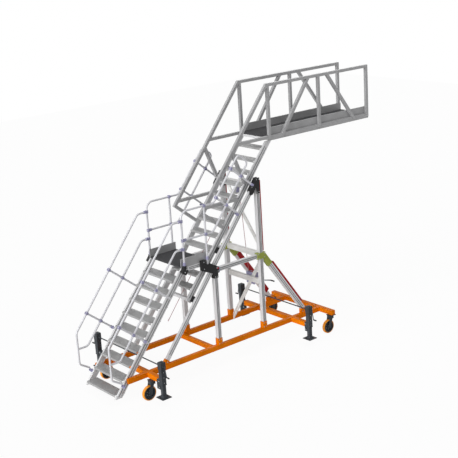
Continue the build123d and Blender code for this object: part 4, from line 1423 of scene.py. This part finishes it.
def floor_material():
    """Pale floor that keeps the stand's shadow but reads as white paper in the picture."""
    material = bpy.data.materials.new("Pale floor")
    material.use_nodes = True
    tree = material.node_tree
    shader = tree.nodes["Principled BSDF"]
    shader.inputs["Base Color"].default_value = (0.9, 0.9, 0.9, 1)
    shader.inputs["Roughness"].default_value = 0.9
    paper = tree.nodes.new("ShaderNodeEmission")
    share = math_node(tree, "MULTIPLY", seen_plainly(tree), PAPER_SHARE)
    blend_shaders(tree, share, shader, paper, tree.nodes["Material Output"].inputs["Surface"])
    return material


def white_world(strength):
    """Even fill light; the picture, gloss and glass see plain white."""
    world = bpy.data.worlds.new("Studio")
    world.use_nodes = True
    tree = world.node_tree
    fill = tree.nodes["Background"]
    fill.inputs["Color"].default_value = (1, 1, 1, 1)
    fill.inputs["Strength"].default_value = strength
    white = tree.nodes.new("ShaderNodeBackground")
    white.inputs["Color"].default_value = (1, 1, 1, 1)
    blend_shaders(tree, seen_plainly(tree), fill, white, tree.nodes["World Output"].inputs["Surface"])
    return world


class STAND_OT_stage(bpy.types.Operator):
    """Floor, lights and camera"""
    bl_idname = "stand.stage"
    bl_label = "Stage"

    def execute(self, context):
        scene = context.scene
        mesh = bpy.data.meshes.new("floor")
        half = FLOOR_SIZE / 2
        square = [(-half, -half, 0), (half, -half, 0), (half, half, 0), (-half, half, 0)]
        mesh.from_pydata(square, [], [(0, 1, 2, 3)])
        mesh.materials.append(floor_material())
        floor = bpy.data.objects.new("floor", mesh)
        scene.collection.objects.link(floor)
        scene.world = white_world(sizes().sky)
        for name, share, angle, aim in LAMPS:
            lamp = bpy.data.lights.new(name, "SUN")
            lamp.energy = share * sizes().sun
            lamp.angle = angle
            light = bpy.data.objects.new(name, lamp)
            light.rotation_euler = Vector(aim).to_track_quat("-Z", "Y").to_euler()
            scene.collection.objects.link(light)
        lens = bpy.data.cameras.new("camera")
        lens.lens = sizes().lens
        lens.clip_end = VIEW_DEPTH
        camera = bpy.data.objects.new("camera", lens)
        camera.matrix_world = camera_matrix()
        scene.collection.objects.link(camera)
        scene.camera = camera
        scene.view_settings.view_transform = "Standard"
        return {"FINISHED"}


class STAND_PT_panel(bpy.types.Panel):
    """Operators and values of the stand"""
    bl_label = "Access Stand"
    bl_idname = "STAND_PT_panel"
    bl_space_type = "VIEW_3D"
    bl_region_type = "UI"
    bl_category = "Access Stand"

    def draw(self, context):
        for maker in OPERATORS:
            self.layout.operator(maker.bl_idname)
        for values in (context.scene.stand_colours, context.scene.stand_sizes):
            for name in values.__annotations__:
                self.layout.prop(values, name)


OPERATORS = (STAND_OT_stage, STAND_OT_metalwork, STAND_OT_treads, STAND_OT_guides, STAND_OT_slots,
             STAND_OT_wheels, STAND_OT_guards, STAND_OT_joints, STAND_OT_winch, STAND_OT_jacks, STAND_OT_caps,
             STAND_OT_rope, STAND_OT_fasteners, STAND_OT_welds, STAND_OT_pins, STAND_OT_feet)
CLASSES = (StandColours, StandSizes, *OPERATORS, STAND_PT_panel)


def register():
    for item in CLASSES:
        bpy.utils.register_class(item)
    bpy.types.Scene.stand_colours = PointerProperty(type=StandColours)
    bpy.types.Scene.stand_sizes = PointerProperty(type=StandSizes)


def unregister():
    del bpy.types.Scene.stand_sizes
    del bpy.types.Scene.stand_colours
    for item in reversed(CLASSES):
        bpy.utils.unregister_class(item)


def main():
    register()
    make_materials()
    for maker in OPERATORS:
        getattr(bpy.ops.stand, maker.bl_idname.split(".")[1])()


if __name__ == "__main__":
    main()
